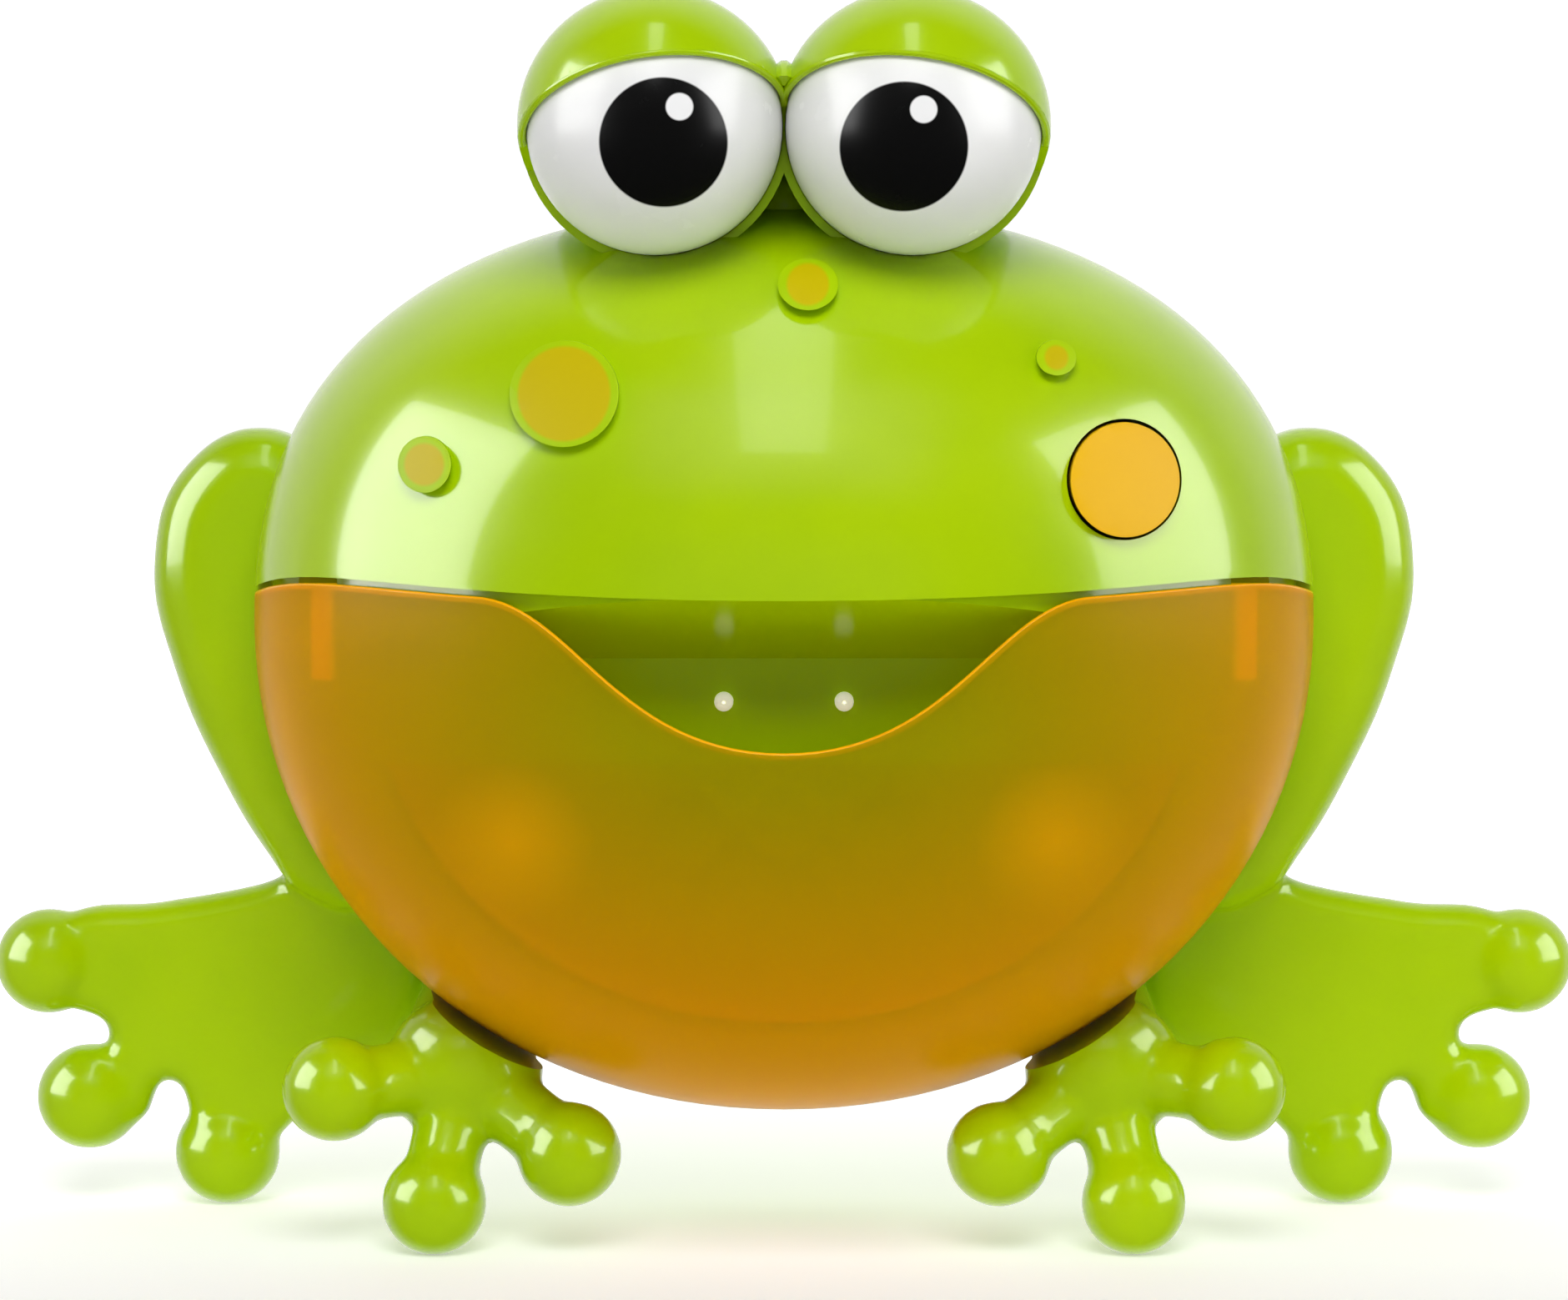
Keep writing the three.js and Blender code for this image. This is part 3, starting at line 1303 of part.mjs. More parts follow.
addPiece("wand_clip", wandClip(), offWhite);
addPiece("battery_box", batteryBox(), darkPlastic);
addPiece("battery_door", batteryDoor(), lime);
const doorScrewPlace = { x: 0, z: doorScrewZ };
addPiece("door_screw", screw(smallScrew, doorScrewPlace, backY - doorScrewSink, doorScrewLength), steel);

// Cells in three rows that point to alternate ends, each between a plate and a spring
[-1, 0, 1].forEach((place, i) => {
  const row = cellZ + place * cellPitch;
  const end = place === 0 ? -1 : 1;
  const springName = `contact_spring_${i + 1}`;
  addPiece(`battery_cell_${i + 1}`, cell(row, end), copper);
  addPiece(`contact_plate_${i + 1}`, contactPlate(row, end), copper);
  addPiece(springName, contactSpring(springName, row, end), steel);
});

screwPlaces.forEach((place, i) => {
  addPiece(`case_screw_${i + 1}`, screw(caseScrew, place, caseScrewHeadY, caseScrew.length), steel);
});
sides.forEach((side, i) => {
  const place = { x: side * framePostX, z: framePostZ };
  const headY = frameBackY + smallScrew.headHeight + seamGap;
  addPiece(`frame_screw_${i + 1}`, screw(smallScrew, place, headY, smallScrew.length), steel);
});
cupPlaces.forEach((place, i) => {
  addPiece(`suction_cup_${i + 1}`, suctionCup(place), vinyl);
});

export default frog;
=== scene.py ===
import json
import math

import bpy
from mathutils import Matrix, Vector


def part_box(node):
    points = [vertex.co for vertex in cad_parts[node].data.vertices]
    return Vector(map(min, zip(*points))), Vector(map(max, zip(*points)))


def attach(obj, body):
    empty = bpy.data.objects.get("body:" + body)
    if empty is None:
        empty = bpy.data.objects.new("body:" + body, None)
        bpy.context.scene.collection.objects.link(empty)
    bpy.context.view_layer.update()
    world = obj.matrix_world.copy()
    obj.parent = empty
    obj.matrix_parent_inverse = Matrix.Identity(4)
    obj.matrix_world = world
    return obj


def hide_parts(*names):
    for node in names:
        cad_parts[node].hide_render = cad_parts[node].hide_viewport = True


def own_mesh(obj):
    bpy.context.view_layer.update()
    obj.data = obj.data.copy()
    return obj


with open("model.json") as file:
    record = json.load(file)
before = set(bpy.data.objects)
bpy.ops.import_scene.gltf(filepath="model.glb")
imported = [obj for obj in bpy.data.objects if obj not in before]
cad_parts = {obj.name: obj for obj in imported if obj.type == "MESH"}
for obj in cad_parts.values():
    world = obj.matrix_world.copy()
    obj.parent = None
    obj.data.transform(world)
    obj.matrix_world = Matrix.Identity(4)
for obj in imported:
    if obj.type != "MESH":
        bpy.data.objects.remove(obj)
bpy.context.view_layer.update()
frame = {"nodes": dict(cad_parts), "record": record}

# Sizes in millimetres, apart from the camera and lamps; MM turns them into the scene's metres
MM = 0.001
PARTING_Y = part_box("rear_shell")[0][1] / MM
BACK_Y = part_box("rear_shell")[1][1] / MM
WALL_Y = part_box("suction_cup_1")[1][1] / MM
SEAM = 0.3
FAR = 400  # how far the cutting blocks reach
OVERRUN = 2  # how far a hole's cutter runs past a wall

# The body's egg
HALF_WIDTH = 80
RISE = 62.5
DROP = 74.4
EQUATOR_Z = 93.4
DOME_DEPTH = 60
REAR_DEPTH = 32
CROWN_POWER = 2.3
BELLY_POWER = 2.05
DOME_POWER = 2.2
REAR_POWER = 6
SHELL_WALL = 2.2
NOSE_Y = PARTING_Y - DOME_DEPTH
AHEAD_Y = NOSE_Y - 20  # where cutters that come from the front begin

# Eyes and lids
EYE_X = 18.6
EYE_Z = 166.4
EYE_Y = PARTING_Y - 34
EYE_RADIUS = 18.4
LID_RADIUS = 19.7
LID_PITCH = math.radians(28.7)
LID_ROLL = math.radians(8.7)
LID_LIFT = 0.5
LID_EDGE_RADIUS = 0.58
LID_ROOM = 0.05
EYE_SEAT = 7
WEB_RADIUS = 1.3
WEB_RISE = 1.7
SOCKET_GAP = 0.1
EYE_REAR_DEPTH = 16
PUPIL_RADIUS = 9
GLINT_RADIUS = 1.9
EYE_PRINTS = {  # side: middle of the pupil and of its glint in the front view
    -1: ((-16.9, 163.6), (-14.6, 168.5)),
    1: ((16.8, 163), (19.5, 168.1)),
}
BRIDGE_RADIUS = 6  # the ball that closes the gap between the eye bumps and the crown
BRIDGE_SETBACK = 7

# Mouth and tray
LIP_Z = 99.8
RIM_Z = 98.6
MOUTH_WALL_Y = NOSE_Y + 25
CREASE_Z = 89.9
ROOF_SLOPE = 9.9 / 21.5
TRAY_WALL = 2
LINER_INSET = 2.5
LINER_WALL = 2
LINER_LAP = 4
JETS = ("air_jet_left", "air_jet_right")
JET_HOLE_RADIUS = 1.4
JET_REACH = 2
JET_LENGTH = 8.3
WAND_Z = 67
SEAL_HOLE_RADIUS = 4.4
TRAY_BACK_GAP = 3
TRAY_BACK_Z = 75
HUB_HOLE_RADIUS = 3.86
SMILE_HALF_WIDTH = 44
SMILE_DIP = 20.5
SMILE_SHOULDER = 0.68  # the curve's two handles, as shares of the half width
SMILE_BASE = 0.55
LIP_RISE = 3.5
LIP_FALL = 5
RIB_X = 66.7
RIB_WIDTH = 3.2
RIB_DROP = 12
RIB_FRONT = 5
RIB_BACK = 9
RIB_ROOM = 0.5
RIB_GAP = 0.05
RIB_ROUNDING = 0.4
RIM_SINK = 0.2
RIM_INSET = 0.55
RIM_BEAD_RADIUS = 0.5
RIM_START_TURN = 0.06
TRAY_HIGHLIGHT_X = 38.7  # painted highlights: the pale spots where the lamps' light gathers in the tray
TRAY_HIGHLIGHT_Z = 64.6
TRAY_HIGHLIGHT_RADIUS = 5
TRAY_HIGHLIGHT_SOFTNESS = 7
TINT_CENTRE = (0, 0, 88)  # painted shade: where the amber is deepest and greenest, for the shaded green mouth seen through it, and how far out it pales
TINT_START = 15
TINT_END = 52
TINT_X_SHARE = 0.6

# Button and warts
BUTTON_X = 48.3
BUTTON_Z = 116.2
BUTTON_RADIUS = 8
BUTTON_GAP = 0.5
BUTTON_PROUD = 1.6
BUTTON_ROUNDING = 0.6
BUTTON_BACK_Y = -26.5
BORE_RADIUS = BUTTON_RADIUS + BUTTON_GAP
BORE_END_Y = -15
STEM_RADIUS = 2.6
STEM_START_Y = -27.5
STEM_END_Y = -15.7
STEM_BORE_RADIUS = 3.2
COLLAR_WALL = 2
COLLAR_FLOOR_Y = -18.5
COLLAR_END_Y = -17
COLLAR_LAP = 0.2
WARTS = {  # x, z, half width, half height
    "wart_large": (-31, 128.4, 7.8, 7.4),
    "wart_outer": (-51, 118.3, 3.95, 3.95),
    "wart_top": (3.4, 143.8, 4.3, 3.7),
    "wart_small": (38.7, 133.4, 2.9, 2.5),
}
WART_HEIGHT = 1.5
WART_ROOT_Y = PARTING_Y - 10
WART_SINK = 1
WART_ROUNDING = 0.7
WART_PRINT_MARGIN = 1

# Legs
HIND_TOE_Y = WALL_Y - 20
FRONT_TOE_Y = WALL_Y - 60
TOE_RADIUS = 8.3
FRONT_TOE_RADIUS = 7.9
LEG_VOXEL = 0.9
BODY_GAP = 0.45
HIND_TOES = [(115.4, 38), (109.2, 16.6), (87.6, TOE_RADIUS - 0.5)]
FRONT_TOES = [(66.9, 24.5), (52.1, FRONT_TOE_RADIUS - 0.5), (32, 14.7)]
HAUNCH = [
    (64, 66), (63, 100), (70, 115), (80.4, 121.8), (92.5, 116), (97.6, 101), (94.4, 84), (87.6, 68),
    (80.6, 56), (75, 49.5), (64, 48),
]
HAUNCH_SETBACK = 7
HAUNCH_THICKNESS = 20
HAUNCH_ROUNDING = 8
FOOT = [
    (57, 42), (70, 54), (82, 50.2), (98, 47.3), (113, 45), (118, 38), (113, 31.5), (106, 27.5), (110, 19.5),
    (107, 11), (101, 13), (96.6, 19.4), (92.6, 12), (88, 4.5), (80, 10), (70, 20), (58.5, 27),
]
FOOT_THICKNESS = 9.6
FOOT_ROUNDING = 4
PALM = (48.2, -1, 26)
PALM_RADII = (12, 9.8, 11.2)
HIP = (47, 21, 33)
THIGH_RADIUS = 10.6
HIP_RADIUS = 9.5
NECK_RADIUS = 5.6

# Back of the toy
POST_RADIUS = 4.4
POST_START = 0.4
SCREW_WELL_RADIUS = 3
SCREW_WELL_START = 4
CUP_HOLE_RADIUS = 3.2
BACK_HOLE_DEPTH = 5
GRILLE_HOLE_RADIUS = 1.3
GRILLE_RING_RADIUS = 5.5
GRILLE_HOLES = 6
DOOR_POCKET_RADIUS = 2.6
DOOR_POCKET_DEPTH = 1.6
DOOR_HOLE_RADIUS = 1.4
DOOR_ROUNDING = 0.3
CUP_PROFILE = [  # (radius, y) from the stem's tip out to the lip and back to the axis
    (0, BACK_Y - 4.9), (3.9, BACK_Y - 4.5), (4.5, BACK_Y - 2.5), (2.9, BACK_Y - 2.5), (2.9, BACK_Y + 0.3),
    (6.9, BACK_Y + 0.3), (8.1, BACK_Y + 2), (10, BACK_Y + 3.4), (12.4, BACK_Y + 4.6), (15, BACK_Y + 6.6),
    (17, WALL_Y - 0.5), (17, WALL_Y), (15.5, WALL_Y), (13.6, WALL_Y - 1.6), (11.2, WALL_Y - 2.7),
    (8, WALL_Y - 3.8), (4, WALL_Y - 4.6), (0, WALL_Y - 4.8),
]

# Floor (how its tone changes along Y), and the camera and lamps in metres
FLOOR_SHADE_Y = (-700, -40)
FLOOR_GLOW_Y = (-230, 320)
CAMERA_PLACE = (0, -0.7, 0.1418)
CAMERA_TARGET = (0, 0, 0.0892)
CAMERA_LENS = 107.5
LAMP_TARGET = (0, 0, 0.1)


# Modelling helpers

def deselect():
    if bpy.context.object and bpy.context.object.mode != "OBJECT":
        bpy.ops.object.mode_set(mode="OBJECT")
    bpy.ops.object.select_all(action="DESELECT")


def make_active(piece):
    deselect()
    piece.select_set(True)
    bpy.context.view_layer.objects.active = piece


def settle(name):
    """The active object, named, with its place put into its mesh."""
    piece = bpy.context.object
    piece.name = name
    bpy.ops.object.transform_apply(location=True, rotation=True, scale=True)
    return piece


def ball(name, radius, centre, segments=64, rings=32):
    """A ball with its poles along Y."""
    deselect()
    bpy.ops.mesh.primitive_uv_sphere_add(
        segments=segments, ring_count=rings, radius=radius * MM,
        location=Vector(centre) * MM, rotation=(math.pi / 2, 0, 0),
    )
    return settle(name)


def rod(name, radius, x, z, start_y, end_y, sides=64):
    """A round rod along Y."""
    deselect()
    bpy.ops.mesh.primitive_cylinder_add(
        vertices=sides, radius=radius * MM, depth=(end_y - start_y) * MM,
        location=Vector((x, (start_y + end_y) / 2, z)) * MM, rotation=(math.pi / 2, 0, 0),
    )
    return settle(name)


def block(name, low, high):
    deselect()
    low, high = Vector(low), Vector(high)
    bpy.ops.mesh.primitive_cube_add(size=1, location=(low + high) / 2 * MM)
    bpy.context.object.scale = (high - low) * MM
    return settle(name)


def combine(piece, other, operation):
    """Cuts, joins or trims a piece with another, which is used up."""
    make_active(piece)
    step = piece.modifiers.new("combine", "BOOLEAN")
    step.operation = operation
    step.solver = "MANIFOLD"
    step.object = other
    bpy.ops.object.modifier_apply(modifier=step.name)
    bpy.data.objects.remove(other)
    return piece


def cut(piece, *others):
    for other in others:
        combine(piece, other, "DIFFERENCE")
    return piece


def unite(piece, *others):
    for other in others:
        combine(piece, other, "UNION")
    return piece


def trim(piece, *others):
    for other in others:
        combine(piece, other, "INTERSECT")
    return piece


def gather(name, pieces):
    """Makes one object of several pieces."""
    make_active(pieces[0])
    for piece in pieces:
        piece.select_set(True)
    bpy.ops.object.join()
    whole = bpy.context.object
    whole.name = name
    return whole


def twin(piece, name):
    """A copy with its own mesh."""
    copy = piece.copy()
    copy.data = piece.data.copy()
    copy.name = name
    bpy.context.collection.objects.link(copy)
    return copy


def mirrored(piece, name):
    """A left-hand copy of a right-hand piece."""
    copy = twin(piece, name)
    copy.data.transform(Matrix.Scale(-1, 4, (1, 0, 0)))
    make_active(copy)
    bpy.ops.object.mode_set(mode="EDIT")
    bpy.ops.mesh.select_all(action="SELECT")
    bpy.ops.mesh.flip_normals()
    bpy.ops.object.mode_set(mode="OBJECT")
    return copy


def round_edges(piece, width, segments=3, angle=35):
    make_active(piece)
    step = piece.modifiers.new("round", "BEVEL")
    step.width = width * MM
    step.segments = segments
    step.limit_method = "ANGLE"
    step.angle_limit = math.radians(angle)
    bpy.ops.object.modifier_apply(modifier=step.name)
    return piece


def smooth(piece, angle=30):
    make_active(piece)
    bpy.ops.object.shade_smooth_by_angle(angle=math.radians(angle))
    return piece


def hand_over(piece, body, slot, material, *nodes, angle=30):
    """Gives a finished piece its finish, the body it rides on and the nodes it stands for."""
    smooth(piece, angle)
    piece.data.materials.clear()
    piece.data.materials.append(material)
    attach(piece, body)
    if nodes:
        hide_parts(*nodes)
    return piece


# Forms that several pieces share

def signed_power(value, power):
    return math.copysign(abs(value) ** power, value)


def egg(name, inset, segments=128, rings=80):
    """The body's form, drawn in by an inset: crown, belly, dome and back have their own roundness."""
    form = ball(name, 1 / MM, (0, 0, 0), segments, rings)
    for vertex in form.data.vertices:
        ux, uy, uz = vertex.co
        spread = math.hypot(ux, uz)
        depth_power = DOME_POWER if uy < 0 else REAR_POWER
        depth = (DOME_DEPTH if uy < 0 else REAR_DEPTH) - inset
        outline_power = CROWN_POWER if uz > 0 else BELLY_POWER
        height = (RISE if uz > 0 else DROP) - inset
        reach = spread ** (2 / depth_power)
        across = signed_power(ux / spread, 2 / outline_power) if spread > 1e-6 else 0
        upward = signed_power(uz / spread, 2 / outline_power) if spread > 1e-6 else 0
        vertex.co = Vector((
            (HALF_WIDTH - inset) * reach * across,
            PARTING_Y + depth * signed_power(uy, 2 / depth_power),
            EQUATOR_Z + height * reach * upward,
        )) * MM
    return form


def face_y(x, z, inset=0):
    """Where the front of the body's form lies at a place in the front view."""
    power = CROWN_POWER if z > EQUATOR_Z else BELLY_POWER
    height = (RISE if z > EQUATOR_Z else DROP) - inset
    reach = (abs(x) / (HALF_WIDTH - inset)) ** power + (abs(z - EQUATOR_Z) / height) ** power
    rest = max(0, 1 - reach ** (DOME_POWER / power))
    return PARTING_Y - (DOME_DEPTH - inset) * rest ** (1 / DOME_POWER)


def eye_bump(name, side, radius, rear_depth):
    """A ball in front, a tube back to the parting line, a rounded end behind."""
    form = ball(name, radius, (side * EYE_X, EYE_Y, EYE_Z), 72, 36)
    for vertex in form.data.vertices:
        behind = vertex.co.y / MM - EYE_Y
        if behind > 0.01:
            vertex.co.y = (PARTING_Y + behind / radius * rear_depth) * MM
    return form


def head_form(name, inset):
    """The egg with both eye bumps."""
    form = egg(name, inset)
    for side in (-1, 1):
        unite(form, eye_bump("bump", side, LID_RADIUS - inset, EYE_REAR_DEPTH - inset))
    return form


def half_space(name, low=(-FAR, -FAR, -FAR), high=(FAR, FAR, FAR)):
    """A block that reaches far past the toy wherever no limit is given."""
    return block(name, low, high)


def close_up(name):
    """Leaves edit mode with the seams merged and the faces turned outwards."""
    bpy.ops.mesh.select_all(action="SELECT")
    bpy.ops.mesh.remove_doubles(threshold=0.01 * MM)
    bpy.ops.mesh.normals_make_consistent(inside=False)
    bpy.ops.object.mode_set(mode="OBJECT")
    return settle(name)


def prism(name, outline, start, end, axis):
    """A disc pulled to a flat outline and extruded along X or Y."""
    deselect()
    bpy.ops.mesh.primitive_circle_add(vertices=len(outline), radius=MM, fill_type="NGON", location=(0, 0, 0))
    for vertex, (a, b) in zip(bpy.context.object.data.vertices, outline):
        vertex.co = Vector((start, a, b) if axis == "X" else (a, start, b)) * MM
    along = Vector((1, 0, 0) if axis == "X" else (0, 1, 0)) * (end - start) * MM
    bpy.ops.object.mode_set(mode="EDIT")
    bpy.ops.mesh.select_all(action="SELECT")
    bpy.ops.mesh.extrude_region_move(TRANSFORM_OT_translate={"value": along})
    return close_up(name)


def lip_bow(x):
    """How far the line of the lips is above its middle: up on the cheeks, down at the ends."""
    share = min(1, abs(x) / HALF_WIDTH)
    return LIP_RISE * share ** 2 - LIP_FALL * share ** 12


def mouth_line(middle_z, half_width=200, steps=100):
    """The line of the lips as (x, z) points from left to right."""
    xs = [half_width * i / steps for i in range(-steps, steps + 1)]
    return [(x, middle_z + lip_bow(x)) for x in xs]


def beside_lips(name, middle_z, far_z):
    """All in front of the parting plane from a line of the lips up, or down, to a far height."""
    line = mouth_line(middle_z)
    outline = line + [(line[-1][0], far_z), (line[0][0], far_z)]
    return prism(name, outline, -FAR, PARTING_Y - SEAM / 2, "Y")


def smile_points(offset=0, steps=28):
    """The dip in the tray's rim as (x, z) points from left to right."""
    points = []
    for i in range(-steps, steps + 1):
        t = 1 - abs(i) / steps
        end_x, end_z = SMILE_HALF_WIDTH, RIM_Z + lip_bow(SMILE_HALF_WIDTH)
        low_z = RIM_Z - SMILE_DIP
        x = ((1 - t) ** 3 * end_x + 3 * (1 - t) ** 2 * t * SMILE_SHOULDER * end_x
             + 3 * (1 - t) * t ** 2 * SMILE_BASE * end_x)
        z = ((1 - t) ** 3 + 3 * (1 - t) ** 2 * t) * end_z + (3 * (1 - t) * t ** 2 + t ** 3) * low_z
        points.append((math.copysign(x, i), z + offset))
    return points


def bead(name, points, radius):
    """A round bead along a line of points."""
    deselect()
    bpy.ops.curve.primitive_nurbs_path_add(location=(0, 0, 0))
    curve = bpy.context.object.data
    curve.bevel_depth = radius * MM
    curve.bevel_resolution = 3
    curve.use_fill_caps = True
    line = curve.splines[0]
    line.type = "POLY"
    line.points.add(len(points) - len(line.points))
    for knot, point in zip(line.points, points):
        knot.co = (*(Vector(point) * MM), 1)
    bpy.ops.object.convert(target="MESH")
    bpy.ops.object.mode_set(mode="EDIT")
    return close_up(name)


def turned(name, profile, x, z, steps=64):
    """A piece spun about a line along Y: profile points are (radius, y) from axis to axis."""
    deselect()
    bpy.ops.mesh.primitive_circle_add(vertices=len(profile), radius=MM, location=(0, 0, 0))
    mesh = bpy.context.object.data
    for vertex, (radius, y) in zip(mesh.vertices, profile):
        vertex.co = Vector((x + radius, y, z)) * MM
    bpy.ops.object.mode_set(mode="EDIT")
    bpy.ops.mesh.select_mode(type="EDGE")
    bpy.ops.mesh.select_all(action="DESELECT")
    bpy.ops.object.mode_set(mode="OBJECT")
    for edge in mesh.edges:
        edge.select = set(edge.vertices) == {0, len(profile) - 1}
    bpy.ops.object.mode_set(mode="EDIT")
    bpy.ops.mesh.delete(type="EDGE")
    bpy.ops.mesh.select_all(action="SELECT")
    bpy.ops.mesh.spin(steps=steps, angle=2 * math.pi, center=Vector((x, 0, z)) * MM, axis=(0, 1, 0))
    return close_up(name)


# Materials

def new_material(name):
    material = bpy.data.materials.new(name)
    material.use_nodes = True
    tree = material.node_tree
    shader = tree.nodes["Principled BSDF"]
    return material, tree, shader


def object_noise(tree, scale, detail=4):
    place = tree.nodes.new("ShaderNodeTexCoord")
    noise = tree.nodes.new("ShaderNodeTexNoise")
    noise.inputs["Scale"].default_value = scale
    noise.inputs["Detail"].default_value = detail
    tree.links.new(place.outputs["Object"], noise.inputs["Vector"])
    return noise


def ramp(tree, factor, low, high, start=0.35, end=0.65):
    colours = tree.nodes.new("ShaderNodeValToRGB")
    colours.color_ramp.elements[0].position = start
    colours.color_ramp.elements[1].position = end
    colours.color_ramp.elements[0].color = (*low, 1)
    colours.color_ramp.elements[1].color = (*high, 1)
    tree.links.new(factor, colours.inputs["Fac"])
    return colours.outputs["Color"]


def span(tree, factor, low, high):
    limits = tree.nodes.new("ShaderNodeMapRange")
    limits.inputs["To Min"].default_value = low
    limits.inputs["To Max"].default_value = high
    tree.links.new(factor, limits.inputs["Value"])
    return limits.outputs["Result"]


def skin_bump(tree, shader, scale, strength):
    """The slight waviness of a moulded surface."""
    noise = object_noise(tree, scale, 2)
    bump = tree.nodes.new("ShaderNodeBump")
    bump.inputs["Strength"].default_value = strength
    bump.inputs["Distance"].default_value = 0.0002
    tree.links.new(noise.outputs["Fac"], bump.inputs["Height"])
    tree.links.new(bump.outputs["Normal"], shader.inputs["Normal"])


def moulded(name, low, high, roughness=(0.16, 0.24), coat=0.4, bump=0.05, shine=0.5, glow=0):
    """A moulded plastic: two near colours, uneven gloss and a faint orange-peel skin.

    The glow is painted light: an emission that stands for the light that a pale, thin-walled piece lets
    through.
    """
    material, tree, shader = new_material(name)
    noise = object_noise(tree, 28)
    tree.links.new(ramp(tree, noise.outputs["Fac"], low, high), shader.inputs["Base Color"])
    fine = object_noise(tree, 160)
    tree.links.new(span(tree, fine.outputs["Fac"], *roughness), shader.inputs["Roughness"])
    shader.inputs["Specular IOR Level"].default_value = shine
    shader.inputs["Emission Color"].default_value = (*high, 1)
    shader.inputs["Emission Strength"].default_value = glow
    shader.inputs["Coat Weight"].default_value = coat
    shader.inputs["Coat Roughness"].default_value = 0.06
    skin_bump(tree, shader, 420, bump)
    return material


def distance_from(tree, centre, x_share=1):
    """How far a point is from a place, in metres, seen along Y, with its distance in X counted in part."""
    place = tree.nodes.new("ShaderNodeTexCoord")
    offset = tree.nodes.new("ShaderNodeVectorMath")
    offset.operation = "SUBTRACT"
    offset.inputs[1].default_value = Vector(centre) * MM
    tree.links.new(place.outputs["Object"], offset.inputs[0])
    squash = tree.nodes.new("ShaderNodeVectorMath")
    squash.operation = "MULTIPLY"
    squash.inputs[1].default_value = (x_share, 0, 1)
    tree.links.new(offset.outputs["Vector"], squash.inputs[0])
    length = tree.nodes.new("ShaderNodeVectorMath")
    length.operation = "LENGTH"
    tree.links.new(squash.outputs["Vector"], length.inputs[0])
    return length.outputs["Value"]


def disc_mask(tree, centre, radius, soft=0.12):
    """1 inside a disc, 0 outside, with a soft edge: a print, or a painted highlight in the tray."""
    limits = tree.nodes.new("ShaderNodeMapRange")
    limits.inputs["From Min"].default_value = (radius + soft) * MM
    limits.inputs["From Max"].default_value = (radius - soft) * MM
    tree.links.new(distance_from(tree, centre), limits.inputs["Value"])
    return limits.outputs["Result"]


def paint_over(tree, factor, below, above):
    """One colour laid over another where a factor is 1; each is a colour or a socket."""
    mix = tree.nodes.new("ShaderNodeMix")
    mix.data_type = "RGBA"
    tree.links.new(factor, mix.inputs["Factor"])
    for socket, colour in (("A", below), ("B", above)):
        plug = next(s for s in mix.inputs if s.name == socket and s.type == "RGBA")
        if isinstance(colour, tuple):
            plug.default_value = (*colour, 1)
        else:
            tree.links.new(colour, plug)
    return next(s for s in mix.outputs if s.type == "RGBA")


def eye_material(name, pupil, glint):
    """White plastic with a printed black pupil and its white glint."""
    material, tree, shader = new_material(name)
    noise = object_noise(tree, 40)
    white = ramp(tree, noise.outputs["Fac"], (0.80, 0.80, 0.80), (0.86, 0.86, 0.85))
    pupil_disc = disc_mask(tree, (pupil[0], 0, pupil[1]), PUPIL_RADIUS)
    glint_disc = disc_mask(tree, (glint[0], 0, glint[1]), GLINT_RADIUS)
    print_black = paint_over(tree, pupil_disc, white, (0.004, 0.004, 0.004))
    colour = paint_over(tree, glint_disc, print_black, (0.85, 0.85, 0.85))
    tree.links.new(colour, shader.inputs["Base Color"])
    fine = object_noise(tree, 200)
    tree.links.new(span(tree, fine.outputs["Fac"], 0.22, 0.3), shader.inputs["Roughness"])
    shader.inputs["Specular IOR Level"].default_value = 0.12
    return material


def wart_material(name, x, z, width, height):
    """Lime plastic with a pad-printed mustard top."""
    material, tree, shader = new_material(name)
    noise = object_noise(tree, 60)
    lime = ramp(tree, noise.outputs["Fac"], LIME_LOW, LIME_HIGH)
    print_top = (0.56, 0.45, 0.0)
    size = (width + height) / 2 - WART_PRINT_MARGIN
    colour = paint_over(tree, disc_mask(tree, (x, 0, z), size, 0.25), lime, print_top)
    tree.links.new(colour, shader.inputs["Base Color"])
    fine = object_noise(tree, 220)
    tree.links.new(span(tree, fine.outputs["Fac"], 0.34, 0.44), shader.inputs["Roughness"])
    shader.inputs["Specular IOR Level"].default_value = 0.06
    skin_bump(tree, shader, 500, 0.06)
    return material


def share_along(tree, axis, low, high):
    """A value that goes smoothly from one place on an axis to another."""
    place = tree.nodes.new("ShaderNodeTexCoord")
    axes = tree.nodes.new("ShaderNodeSeparateXYZ")
    tree.links.new(place.outputs["Object"], axes.inputs["Vector"])
    limits = tree.nodes.new("ShaderNodeMapRange")
    limits.interpolation_type = "SMOOTHSTEP"
    limits.inputs["From Min"].default_value = low * MM
    limits.inputs["From Max"].default_value = high * MM
    tree.links.new(axes.outputs[axis], limits.inputs["Value"])
    return limits.outputs["Result"]


def clear_plastic(name, low, high, roughness, transmission):
    """Tinted see-through plastic with a slight haze."""
    material, tree, shader = new_material(name)
    noise = object_noise(tree, 22)
    tree.links.new(ramp(tree, noise.outputs["Fac"], low, high), shader.inputs["Base Color"])
    fine = object_noise(tree, 140)
    tree.links.new(span(tree, fine.outputs["Fac"], *roughness), shader.inputs["Roughness"])
    shader.inputs["Transmission Weight"].default_value = transmission
    shader.inputs["IOR"].default_value = 1.4
    shader.inputs["Coat Weight"].default_value = 0.2
    shader.inputs["Coat Roughness"].default_value = 0.08
    return material


